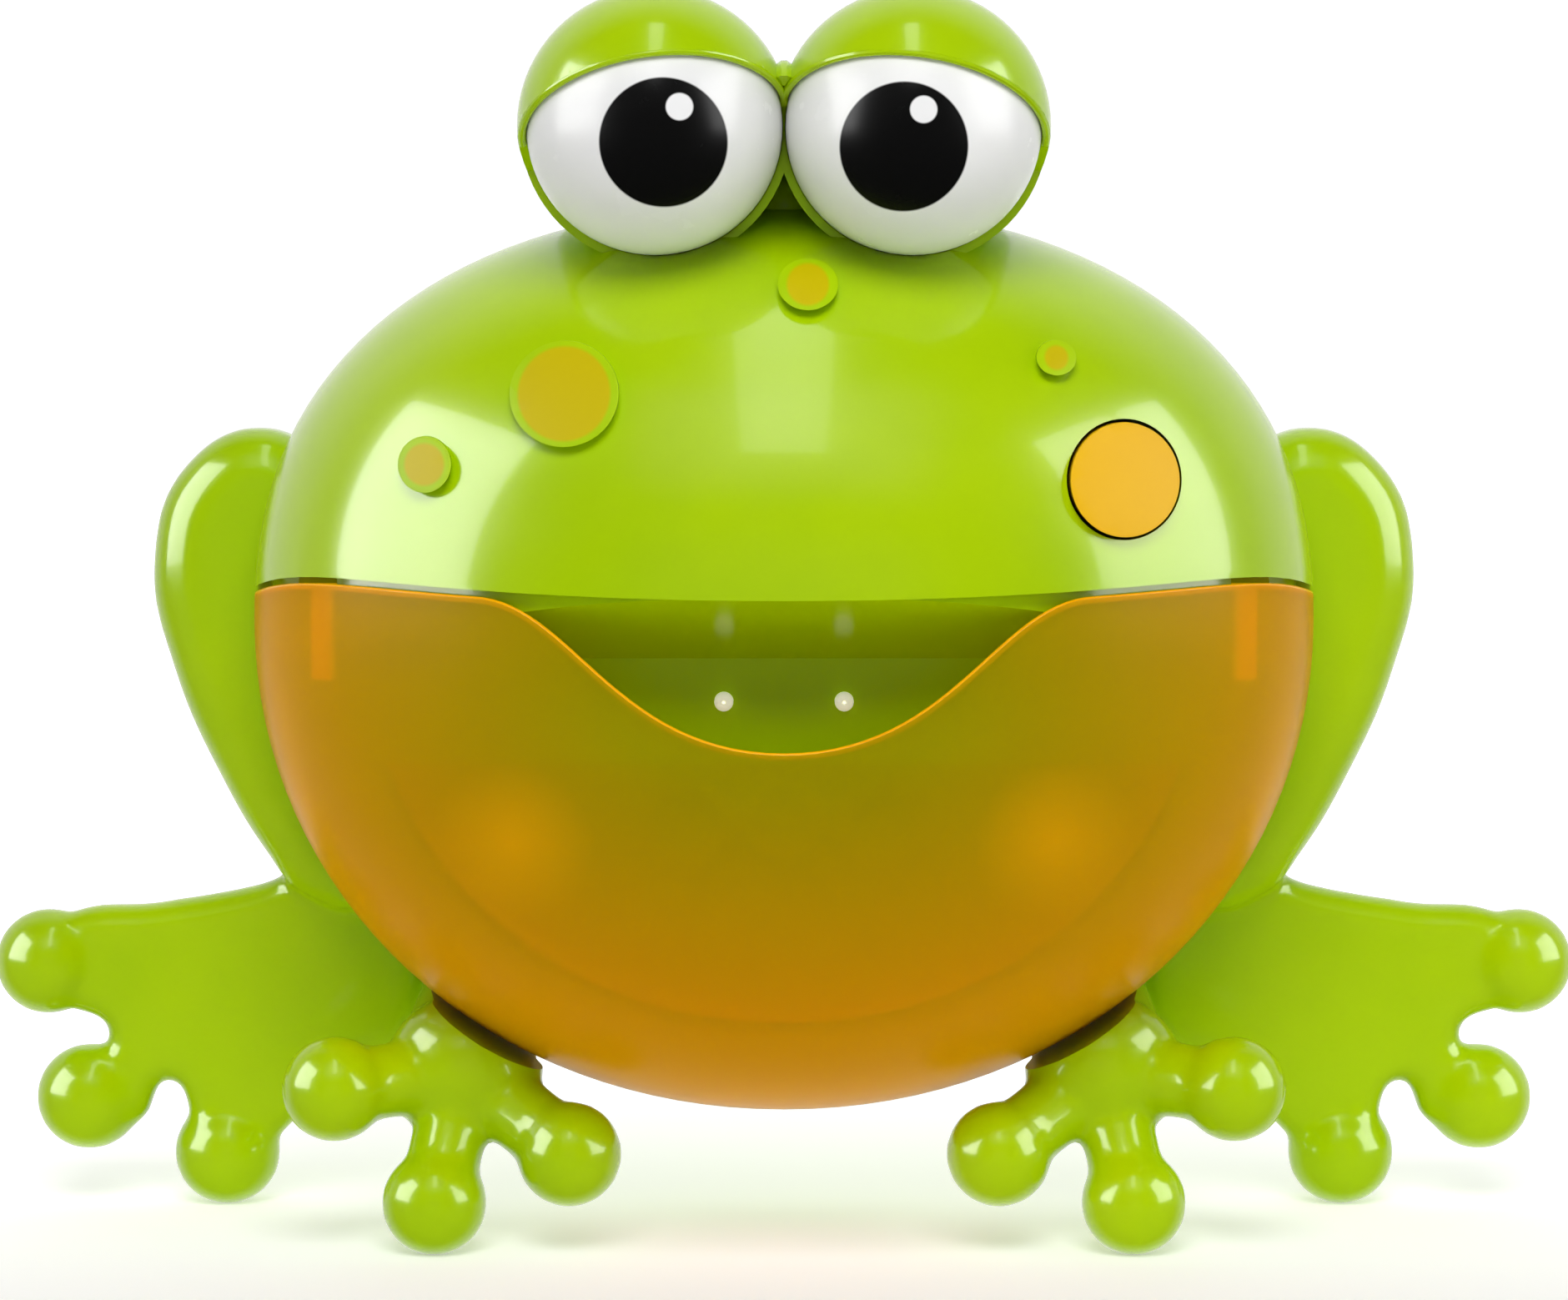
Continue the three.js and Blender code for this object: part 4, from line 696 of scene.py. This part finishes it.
def tray_material():
    """Amber plastic with painted light: deeper and greener towards the mouth, painted shade for the green
    mouth seen through it, and two paler spots, painted highlights where the lamps' light gathers.
    """
    material, tree, shader = new_material("amber_with_painted_light")
    # painted shade: the amber deepens and greens towards the mouth, standing for the shaded green mouth seen
    # through it
    limits = tree.nodes.new("ShaderNodeMapRange")
    limits.inputs["From Min"].default_value = TINT_START * MM
    limits.inputs["From Max"].default_value = TINT_END * MM
    tree.links.new(distance_from(tree, TINT_CENTRE, TINT_X_SHARE), limits.inputs["Value"])
    colour = ramp(tree, limits.outputs["Result"], (0.52, 0.45, 0.0), (0.96, 0.52, 0.0), 0, 1)
    # painted highlights: two paler spots where the lamps' light gathers in the tray
    for side in (-1, 1):
        painted_highlight = disc_mask(tree, (side * TRAY_HIGHLIGHT_X, 0, TRAY_HIGHLIGHT_Z), TRAY_HIGHLIGHT_RADIUS, TRAY_HIGHLIGHT_SOFTNESS)
        colour = paint_over(tree, painted_highlight, colour, (1.0, 0.60, 0.0))
    tree.links.new(colour, shader.inputs["Base Color"])
    fine = object_noise(tree, 140)
    tree.links.new(span(tree, fine.outputs["Fac"], 0.26, 0.34), shader.inputs["Roughness"])
    shader.inputs["Transmission Weight"].default_value = 0.6
    shader.inputs["IOR"].default_value = 1.12
    shader.inputs["Specular IOR Level"].default_value = 0.05
    return material


def plain_metal(name, colour, roughness=(0.25, 0.4)):
    material, tree, shader = new_material(name)
    noise = object_noise(tree, 300)
    dull = tuple(channel * 0.8 for channel in colour)
    tree.links.new(ramp(tree, noise.outputs["Fac"], dull, colour), shader.inputs["Base Color"])
    tree.links.new(span(tree, noise.outputs["Fac"], *roughness), shader.inputs["Roughness"])
    shader.inputs["Metallic"].default_value = 1
    return material


LIME_LOW = (0.36, 0.56, 0.0)
LIME_HIGH = (0.41, 0.61, 0.0)
lime = moulded("lime_plastic", LIME_LOW, LIME_HIGH, coat=0.2, shine=0.22)
# painted light: the liner's lime is lighter than the shell's, to brighten the shaded mouth
liner_lime = moulded("liner_plastic_painted_light", (0.44, 0.67, 0.0), (0.48, 0.72, 0.0), (0.12, 0.18), 0.1, shine=0.25)
button_yellow = moulded("button_plastic", (0.80, 0.44, 0.003), (0.85, 0.48, 0.004), (0.4, 0.5), 0, shine=0.06)
amber = tray_material()
# painted highlight: the rim bead's brighter, opaque orange stands for light caught along the tray's edge
amber_rim_highlight = moulded("amber_rim_highlight", (0.96, 0.42, 0.0), (1.0, 0.47, 0.0), (0.2, 0.3), 0, shine=0.15)
# painted light: the ribs' emission makes them stand out bright in the tray
amber_rib_painted_light = moulded("amber_rib_painted_light", (0.96, 0.50, 0.0), (1.0, 0.54, 0.0), (0.2, 0.3), 0, shine=0.15, glow=0.28)
# painted light: the nozzles' emission makes them read bright in the shade of the mouth
jet_cream = moulded(
    "jet_plastic_painted_light", (0.94, 0.92, 0.76), (0.98, 0.96, 0.80), (0.25, 0.35), 0.05, shine=0.25, glow=0.36,
)
cup_vinyl = clear_plastic("cup_vinyl", (0.78, 0.82, 0.82), (0.86, 0.90, 0.90), (0.12, 0.2), 0.8)
steel = plain_metal("steel", (0.62, 0.62, 0.60))
brass = plain_metal("brass", (0.70, 0.52, 0.22))
cell_wrap = moulded("cell_wrap", (0.30, 0.27, 0.22), (0.36, 0.32, 0.26), (0.25, 0.35), 0.2)
board_green = moulded("board", (0.02, 0.10, 0.03), (0.03, 0.13, 0.04), (0.3, 0.45), 0.1)
dark_plastic = moulded("dark_plastic", (0.02, 0.02, 0.022), (0.03, 0.03, 0.032), (0.35, 0.5), 0)
gear_white = moulded("gear_plastic", (0.76, 0.75, 0.70), (0.82, 0.81, 0.76), (0.35, 0.45), 0)
seal_rubber = moulded("seal_rubber", (0.02, 0.02, 0.02), (0.03, 0.03, 0.03), (0.6, 0.8), 0)


# Shells and eyes

def lid_place(side):
    """Where a lid's lower edge lies, as a turned and moved plane."""
    turn = Matrix.Rotation(side * LID_ROLL, 4, "Y") @ Matrix.Rotation(-LID_PITCH, 4, "X")
    return Matrix.Translation(Vector((side * EYE_X, EYE_Y, EYE_Z + LID_LIFT)) * MM) @ turn


def lid_edge(side, steps=40):
    """The half-round edge of a lid, from one corner of the eye round the front to the other."""
    place = lid_place(side)
    middle = place.inverted() @ (Vector((side * EYE_X, EYE_Y, EYE_Z)) * MM) / MM
    radius = (EYE_RADIUS + SOCKET_GAP + LID_RADIUS) / 2
    turns = [math.pi * i / steps for i in range(steps + 1)]
    arc = [(middle.x - radius * math.cos(turn), middle.y - radius * math.sin(turn), 0) for turn in turns]
    return bead("lid_edge", [place @ (Vector(point) * MM) / MM for point in arc], LID_EDGE_RADIUS)


def lid_opening(side):
    """What the lids leave open in front of an eye."""
    lower = half_space("opening", high=(FAR, FAR, 0))
    lower.data.transform(lid_place(side))
    trim(lower, ball("reach", LID_RADIUS + OVERRUN, (side * EYE_X, EYE_Y, EYE_Z)))
    trim(lower, half_space("front", high=(FAR, EYE_Y + EYE_SEAT, FAR)))
    return cut(lower, egg("head", -LID_ROOM))


def eye_web(steps=8):
    """A fillet along the valley between the eye bumps, down to the lids."""
    reach = math.sqrt(LID_RADIUS ** 2 - EYE_X ** 2) + WEB_RISE
    turns = [math.pi / 2 * i / steps for i in range(steps + 1)]
    arc = [(0, EYE_Y - reach * math.sin(turn), EYE_Z + reach * math.cos(turn)) for turn in turns]
    return bead("web", [(0, PARTING_Y + OVERRUN, EYE_Z + reach)] + arc, WEB_RADIUS)


def make_front_shell():
    shell = head_form("front_shell_skin", 0)
    unite(shell, ball("bridge", BRIDGE_RADIUS, (0, PARTING_Y - BRIDGE_SETBACK, EQUATOR_Z + RISE)))
    unite(shell, eye_web())
    trim(shell, beside_lips("front", LIP_Z, FAR))
    cut(shell, egg("hollow", SHELL_WALL))
    for side in (-1, 1):
        cut(shell, eye_bump("socket", side, EYE_RADIUS + SOCKET_GAP, EYE_REAR_DEPTH), lid_opening(side))
    cut(shell, rod("button_bore", BORE_RADIUS, BUTTON_X, BUTTON_Z, AHEAD_Y, BORE_END_Y))
    unite(shell, lid_edge(-1), lid_edge(1))
    return hand_over(shell, "body", "lime", lime, "front_shell")


def make_button_well():
    """The collar that the button slides in."""
    well = rod("button_collar", BORE_RADIUS + COLLAR_WALL, BUTTON_X, BUTTON_Z, NOSE_Y, COLLAR_END_Y)
    cut(well, rod("bore", BORE_RADIUS, BUTTON_X, BUTTON_Z, AHEAD_Y, COLLAR_FLOOR_Y))
    stem_ends = (COLLAR_FLOOR_Y - OVERRUN, COLLAR_END_Y + OVERRUN)
    cut(well, rod("stem_bore", STEM_BORE_RADIUS, BUTTON_X, BUTTON_Z, *stem_ends))
    trim(well, egg("inside", SHELL_WALL - COLLAR_LAP))
    return hand_over(well, "body", "lime", lime)


def make_warts():
    for name, (x, z, width, height) in WARTS.items():
        plug = rod(name, 1, 0, 0, AHEAD_Y, WART_ROOT_Y, 48)
        widen = Matrix.Diagonal((width, 1, height, 1))
        plug.data.transform(Matrix.Translation(Vector((x, 0, z)) * MM) @ widen)
        trim(plug, egg("wart_top", -WART_HEIGHT))
        cut(plug, egg("wart_foot", WART_SINK))
        round_edges(plug, WART_ROUNDING)
        hand_over(plug, "body", "lime", wart_material(name, x, z, width, height))


def middle_of(node):
    """The middle of a node's box in the front view."""
    low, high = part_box(node)
    return (low[0] + high[0]) / 2 / MM, (low[2] + high[2]) / 2 / MM


def door_block(name, grow):
    """The battery door's block, larger by a margin all round."""
    low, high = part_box("battery_door")
    low, high = Vector(low) / MM, Vector(high) / MM
    margin = Vector((grow, grow, grow))
    return block(name, low - margin, high + margin)


def grille_places():
    """The middles of the speaker's holes: one, and a ring round it."""
    speaker_x, speaker_z = middle_of("speaker")
    turns = [2 * math.pi * i / GRILLE_HOLES for i in range(GRILLE_HOLES)]
    ring = [(GRILLE_RING_RADIUS * math.cos(turn), GRILLE_RING_RADIUS * math.sin(turn)) for turn in turns]
    return [(speaker_x, speaker_z)] + [(speaker_x + x, speaker_z + z) for x, z in ring]


def make_rear_shell():
    shell = head_form("rear_shell_skin", 0)
    hollow = head_form("hollow", SHELL_WALL)
    cut(hollow, half_space("back", low=(-FAR, BACK_Y - SHELL_WALL, -FAR)))
    cut(shell, hollow)
    trim(shell, half_space("rear", (-FAR, PARTING_Y, -FAR), (FAR, BACK_Y, FAR)))
    screws = [middle_of(f"case_screw_{number}") for number in range(1, 5)]
    cups = [middle_of(f"suction_cup_{number}") for number in range(1, 5)]
    post_ends = (PARTING_Y + POST_START, BACK_Y - SHELL_WALL / 2)
    posts = gather("posts", [rod("post", POST_RADIUS, x, z, *post_ends, 32) for x, z in screws])
    unite(shell, trim(posts, egg("inside", SHELL_WALL / 2)))
    well_ends = (PARTING_Y + SCREW_WELL_START, BACK_Y + OVERRUN)
    hole_ends = (BACK_Y - BACK_HOLE_DEPTH, BACK_Y + OVERRUN)
    holes = [rod("well", SCREW_WELL_RADIUS, x, z, *well_ends, 32) for x, z in screws]
    holes += [rod("cup_hole", CUP_HOLE_RADIUS, x, z, *hole_ends, 32) for x, z in cups]
    holes += [rod("grille", GRILLE_HOLE_RADIUS, x, z, *hole_ends, 24) for x, z in grille_places()]
    cut(shell, gather("holes", holes), door_block("window", SEAM))
    return hand_over(shell, "body", "lime", lime, "rear_shell")


def make_door():
    door = door_block("battery_door_skin", 0)
    x, z = middle_of("door_screw")
    cut(door, rod("screw_pocket", DOOR_POCKET_RADIUS, x, z, BACK_Y - DOOR_POCKET_DEPTH, BACK_Y + OVERRUN, 32))
    cut(door, rod("screw_hole", DOOR_HOLE_RADIUS, x, z, BACK_Y - BACK_HOLE_DEPTH, BACK_Y + OVERRUN, 32))
    round_edges(door, DOOR_ROUNDING)
    return hand_over(door, "door", "lime", lime, "battery_door")


def make_eyes():
    for side, (pupil, glint) in EYE_PRINTS.items():
        name = "eye_left" if side < 0 else "eye_right"
        dome = eye_bump(name + "_dome", side, EYE_RADIUS, EYE_REAR_DEPTH)
        trim(dome, half_space("front", high=(FAR, EYE_Y + EYE_SEAT - SEAM, FAR)))
        hand_over(dome, "body", "eye_white", eye_material(name + "_print", pupil, glint), name)


def make_button():
    cap = rod("button_cap", BUTTON_RADIUS, BUTTON_X, BUTTON_Z, AHEAD_Y, BUTTON_BACK_Y)
    trim(cap, egg("button_face", -BUTTON_PROUD))
    round_edges(cap, BUTTON_ROUNDING)
    unite(cap, rod("stem", STEM_RADIUS, BUTTON_X, BUTTON_Z, STEM_START_Y, STEM_END_Y, 32))
    return hand_over(cap, "button", "button_yellow", button_yellow, "power_button")


def squeeze_spring():
    """Gives the button's spring a mesh of its own; the spring shortens against its collar as the button goes
    in.
    """
    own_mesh(frame["nodes"]["button_spring"])


# Mouth and tray

def mouth_space(grow):
    """The open space of the mouth and the tray, with its wall and sloping roof set back by a growth."""
    wall = MOUTH_WALL_Y + grow
    lift = grow * math.hypot(1, ROOF_SLOPE)

    def roof(y):
        return CREASE_Z + ROOF_SLOPE * (MOUTH_WALL_Y - y) + lift

    outline = [(wall, -FAR), (wall, roof(wall)), (AHEAD_Y, roof(AHEAD_Y)), (AHEAD_Y, -FAR)]
    return prism("mouth_space", outline, -FAR, FAR, "X")


def rib_slot(side, grow):
    """The room that a tray rib slides in, open to the side."""
    margin = RIB_ROOM + grow
    near, far = RIB_X - RIB_WIDTH / 2 - margin, FAR
    low_x, high_x = (near, far) if side > 0 else (-far, -near)
    low = (low_x, AHEAD_Y, RIM_Z - RIB_DROP - margin)
    high = (high_x, MOUTH_WALL_Y + RIB_BACK + margin, FAR)
    return block("rib_slot", low, high)


def make_liner():
    liner = egg("mouth_liner_skin", LINER_INSET)
    trim(liner, half_space("low", high=(FAR, PARTING_Y - SEAM / 2, LIP_Z + LINER_LAP)))
    cut(liner, mouth_space(0), rib_slot(-1, 0), rib_slot(1, 0))
    inside = egg("inside", LINER_INSET + LINER_WALL)
    cut(inside, mouth_space(LINER_WALL), rib_slot(-1, LINER_WALL), rib_slot(1, LINER_WALL))
    cut(liner, inside)
    wall_ends = (MOUTH_WALL_Y - OVERRUN, MOUTH_WALL_Y + LINER_WALL + OVERRUN)
    for node in JETS:
        cut(liner, rod("jet_hole", JET_HOLE_RADIUS, *middle_of(node), *wall_ends, 32))
    cut(liner, rod("seal_hole", SEAL_HOLE_RADIUS, 0, WAND_Z, *wall_ends))
    return hand_over(liner, "body", "liner_lime", liner_lime, "mouth_liner")


def make_tray():
    tray = egg("bubble_tray_skin", 0)
    cut(tray, egg("inside", TRAY_WALL))
    trim(tray, beside_lips("low", RIM_Z, -FAR))
    back_y = MOUTH_WALL_Y - TRAY_BACK_GAP
    wall = block("back_wall", (-FAR, back_y - TRAY_WALL, -FAR), (FAR, back_y, TRAY_BACK_Z))
    trim(wall, egg("inside", TRAY_WALL / 2))
    unite(tray, wall)
    outline = smile_points() + [(SMILE_HALF_WIDTH, FAR), (-SMILE_HALF_WIDTH, FAR)]
    cut(tray, prism("smile", outline, AHEAD_Y, MOUTH_WALL_Y + OVERRUN, "Y"))
    cut(tray, rod("hub_hole", HUB_HOLE_RADIUS, 0, WAND_Z, back_y - TRAY_WALL - OVERRUN, back_y + OVERRUN))
    return hand_over(tray, "tray", "amber", amber, "bubble_tray")


def make_tray_ribs():
    for side, name in ((-1, "tray_rib_left"), (1, "tray_rib_right")):
        near, far = sorted((side * (RIB_X - RIB_WIDTH / 2), side * (RIB_X + RIB_WIDTH / 2)))
        low = (near, MOUTH_WALL_Y - RIB_FRONT, RIM_Z - RIB_DROP)
        high = (far, MOUTH_WALL_Y + RIB_BACK, RIM_Z + lip_bow(RIB_X) - RIM_SINK)
        rib = trim(block(name, low, high), egg("inside", TRAY_WALL + RIB_GAP))
        round_edges(rib, RIB_ROUNDING)
        hand_over(rib, "tray", "amber", amber_rib_painted_light)


def make_tray_rim(steps=24):
    """The polished edge of the tray, a bead whose brighter, opaque orange is a painted highlight where it
    catches the light.
    """
    edge = HALF_WIDTH - RIM_INSET
    end_turn = math.acos(SMILE_HALF_WIDTH / edge)
    turns = [RIM_START_TURN + (end_turn - RIM_START_TURN) * i / steps for i in range(steps)]
    xs = [edge * math.cos(turn) for turn in turns]
    cheek = [(x, RIM_Z + lip_bow(x) - RIM_SINK) for x in xs]
    rim = [(-x, z) for x, z in cheek] + smile_points(-RIM_SINK) + cheek[::-1]
    line = [(x, face_y(x, z, RIM_INSET), z) for x, z in rim]
    return hand_over(bead("tray_rim", line, RIM_BEAD_RADIUS), "tray", "amber", amber_rim_highlight, angle=60)


def make_jets():
    """Round-nosed nozzles with a fine bore."""
    tip = MOUTH_WALL_Y - JET_REACH
    end = tip + JET_LENGTH
    profile = [
        (0, tip + 0.7), (0.2, tip + 0.7), (0.24, tip + 0.08), (0.4, tip), (0.85, tip + 0.12),
        (1.15, tip + 0.35), (1.36, tip + 0.8), (1.36, end), (0, end),
    ]
    for node in JETS:
        nozzle = turned(node + "_nozzle", profile, *middle_of(node), 40)
        hand_over(nozzle, "body", "jet_cream", jet_cream, node)


# Legs

def pillow(name, points, front_y, thickness, rounding):
    """A flat outline with fully rounded edges, from a closed smooth curve through its points."""
    deselect()
    bpy.ops.curve.primitive_bezier_circle_add(location=(0, 0, 0))
    curve = bpy.context.object.data
    curve.dimensions = "2D"
    curve.fill_mode = "BOTH"
    curve.extrude = (thickness / 2 - rounding) * MM
    curve.bevel_depth = rounding * MM
    curve.bevel_resolution = 6
    curve.offset = -rounding * MM
    curve.resolution_u = 10
    line = curve.splines[0]
    line.bezier_points.add(len(points) - len(line.bezier_points))
    for knot, (x, z) in zip(line.bezier_points, points):
        knot.co = Vector((x, z, 0)) * MM
        knot.handle_left_type = "AUTO"
        knot.handle_right_type = "AUTO"
    bpy.ops.object.convert(target="MESH")
    piece = settle(name)
    stand_up = Matrix.Rotation(math.pi / 2, 4, "X")
    piece.data.transform(Matrix.Translation((0, (front_y + thickness / 2) * MM, 0)) @ stand_up)
    return piece


def limb(name, start, end, radius, end_radius):
    """A round bar between two points, of a radius at each."""
    start, end = Vector(start), Vector(end)
    deselect()
    along = end - start
    bpy.ops.mesh.primitive_cone_add(
        vertices=40, radius1=radius * MM, radius2=end_radius * MM, depth=along.length * MM,
        location=(start + end) / 2 * MM, rotation=along.to_track_quat("Z", "Y").to_euler(),
    )
    return settle(name)


def fuse(name, pieces, rounds=10):
    """Joins overlapping pieces into one skin with soft inner corners."""
    whole = gather(name, pieces)
    remesh = whole.modifiers.new("skin", "REMESH")
    remesh.mode = "VOXEL"
    remesh.voxel_size = LEG_VOXEL * MM
    bpy.ops.object.modifier_apply(modifier=remesh.name)
    soften = whole.modifiers.new("soften", "SMOOTH")
    soften.factor = 0.5
    soften.iterations = rounds
    bpy.ops.object.modifier_apply(modifier=soften.name)
    return whole


def toe_balls(toes, radius, y):
    return [ball("toe", radius, (x, y, z), 48, 24) for x, z in toes]


def tray_path(steps=96):
    """The space that the tray passes through as it is pulled off."""
    points = []
    for i in range(steps):
        angle = 2 * math.pi * i / steps
        across = signed_power(math.cos(angle), 2 / BELLY_POWER)
        upward = signed_power(math.sin(angle), 2 / BELLY_POWER)
        points.append(((HALF_WIDTH + BODY_GAP) * across, EQUATOR_Z + (DROP + BODY_GAP) * upward))
    return prism("tray_path", points, AHEAD_Y, PARTING_Y + SEAM, "Y")


def stand_flat(piece):
    """Leaves what is above the floor."""
    return trim(piece, half_space("floor_side", low=(-FAR, -FAR, 0)))


def make_hind_legs():
    haunch = pillow("haunch", HAUNCH, PARTING_Y + HAUNCH_SETBACK, HAUNCH_THICKNESS, HAUNCH_ROUNDING)
    foot = pillow("foot", FOOT, HIND_TOE_Y - FOOT_THICKNESS / 2, FOOT_THICKNESS, FOOT_ROUNDING)
    leg = fuse("hind_leg_right_skin", [haunch, foot, *toe_balls(HIND_TOES, TOE_RADIUS, HIND_TOE_Y)])
    cut(leg, egg("body_room", -BODY_GAP), tray_path())
    stand_flat(leg)
    left = mirrored(leg, "hind_leg_left_skin")
    hand_over(leg, "body", "lime", lime, "hind_leg_right")
    hand_over(left, "body", "lime", lime, "hind_leg_left")


def make_front_legs():
    palm = ball("palm", 1, (0, 0, 0))
    palm.data.transform(Matrix.Translation(Vector(PALM) * MM) @ Matrix.Diagonal((*PALM_RADII, 1)))
    thigh = limb("thigh", PALM, HIP, THIGH_RADIUS, HIP_RADIUS)
    hip = ball("hip", HIP_RADIUS, HIP)
    necks = [limb("neck", PALM, (x, FRONT_TOE_Y, z), NECK_RADIUS, NECK_RADIUS) for x, z in FRONT_TOES]
    toes = toe_balls(FRONT_TOES, FRONT_TOE_RADIUS, FRONT_TOE_Y)
    leg = fuse("front_leg_right_skin", [palm, thigh, hip, *necks, *toes])
    cut(leg, egg("body_room", -BODY_GAP), tray_path())
    stand_flat(leg)
    left = mirrored(leg, "front_leg_left_skin")
    hand_over(leg, "body", "lime", lime, "front_leg_right")
    hand_over(left, "body", "lime", lime, "front_leg_left")


# Back of the toy

def make_suction_cups():
    for number in range(1, 5):
        node = f"suction_cup_{number}"
        cup = turned(node + "_skin", CUP_PROFILE, *middle_of(node))
        hand_over(cup, "body", "cup_vinyl", cup_vinyl, node)


def finish_cad_nodes():
    """Finishes for the nodes that stay as they are."""
    slots = {entry["node"]: entry["material_slot"] for entry in frame["record"]["subparts"]}
    finishes = {
        "lime": lime, "amber": amber, "jet_cream": jet_cream, "steel": steel, "brass": brass,
        "cell": cell_wrap, "board": board_green, "dark_plastic": dark_plastic, "gear_white": gear_white,
        "rubber": seal_rubber,
    }
    for name, node in frame["nodes"].items():
        if slots[name] in finishes:
            node.data.materials.clear()
            node.data.materials.append(finishes[slots[name]])


make_front_shell()
make_button_well()
make_warts()
make_rear_shell()
make_door()
make_eyes()
make_button()
make_liner()
make_jets()
make_tray()
make_tray_ribs()
make_tray_rim()
make_hind_legs()
make_front_legs()
make_suction_cups()
finish_cad_nodes()
squeeze_spring()


# Floor, lights and camera

def make_floor():
    deselect()
    bpy.ops.mesh.primitive_plane_add(size=6, location=(0, 0, 0))
    floor = settle("floor")
    material, tree, shader = new_material("floor_paper")
    noise = object_noise(tree, 4)
    paper = ramp(tree, noise.outputs["Fac"], (0.76, 0.76, 0.76), (0.79, 0.79, 0.79))
    front = share_along(tree, "Y", *FLOOR_SHADE_Y)
    tree.links.new(paint_over(tree, front, (0.45, 0.45, 0.45), paper), shader.inputs["Base Color"])
    shader.inputs["Roughness"].default_value = 0.9
    shader.inputs["Specular IOR Level"].default_value = 0.1
    shader.inputs["Emission Color"].default_value = (1, 1, 1, 1)
    tree.links.new(share_along(tree, "Y", *FLOOR_GLOW_Y), shader.inputs["Emission Strength"])
    floor.data.materials.append(material)
    floor.visible_glossy = False


def soft_box(name, place, width, height, power, shine):
    """A lamp panel that faces the toy, for its shine alone or for its shading alone."""
    deselect()
    bpy.ops.object.light_add(type="AREA", location=place)
    lamp = bpy.context.object
    lamp.name = name
    lamp.data.shape = "RECTANGLE"
    lamp.data.size = width
    lamp.data.size_y = height
    lamp.data.energy = power
    lamp.rotation_euler = (Vector(LAMP_TARGET) - Vector(place)).to_track_quat("-Z", "Y").to_euler()
    lamp.visible_glossy = shine
    lamp.visible_diffuse = not shine
    lamp.visible_transmission = not shine


def make_world():
    """A studio that is white behind the toy and dark in front of it."""
    world = bpy.data.worlds.new("studio")
    bpy.context.scene.world = world
    world.use_nodes = True
    tree = world.node_tree
    place = tree.nodes.new("ShaderNodeTexCoord")
    axes = tree.nodes.new("ShaderNodeSeparateXYZ")
    tree.links.new(place.outputs["Generated"], axes.inputs["Vector"])
    limits = tree.nodes.new("ShaderNodeMapRange")
    limits.inputs["From Min"].default_value = 0.1
    limits.inputs["From Max"].default_value = 0.5
    limits.inputs["To Min"].default_value = 0.03
    limits.inputs["To Max"].default_value = 1.05
    tree.links.new(axes.outputs["Y"], limits.inputs["Value"])
    sky = tree.nodes["Background"]
    sky.inputs["Color"].default_value = (1, 1, 1, 1)
    tree.links.new(limits.outputs["Result"], sky.inputs["Strength"])


def make_camera():
    deselect()
    bpy.ops.object.camera_add(location=CAMERA_PLACE)
    camera = bpy.context.object
    along = Vector(CAMERA_TARGET) - Vector(CAMERA_PLACE)
    camera.rotation_euler = along.to_track_quat("-Z", "Y").to_euler()
    camera.data.lens = CAMERA_LENS
    camera.data.sensor_width = 36
    bpy.context.scene.camera = camera


make_floor()
make_world()
soft_box("left_shine", (-0.8, -0.25, 0.42), 0.7, 0.7, 22, True)
soft_box("right_shine", (0.8, -0.25, 0.42), 0.7, 0.7, 16, True)
soft_box("top_shine", (0, -0.35, 0.85), 0.12, 0.8, 1.6, True)
soft_box("left_fill", (-0.8, -0.4, 0.4), 0.6, 0.6, 0.6, False)
soft_box("right_fill", (0.8, -0.4, 0.4), 0.6, 0.6, 1.4, False)
soft_box("top_key", (0, -0.8, 0.92), 0.7, 0.6, 9.6, False)
soft_box("front_fill", (0, -1.2, 0.25), 0.8, 0.4, 1.2, False)
make_camera()
bpy.context.scene.view_settings.view_transform = "Standard"
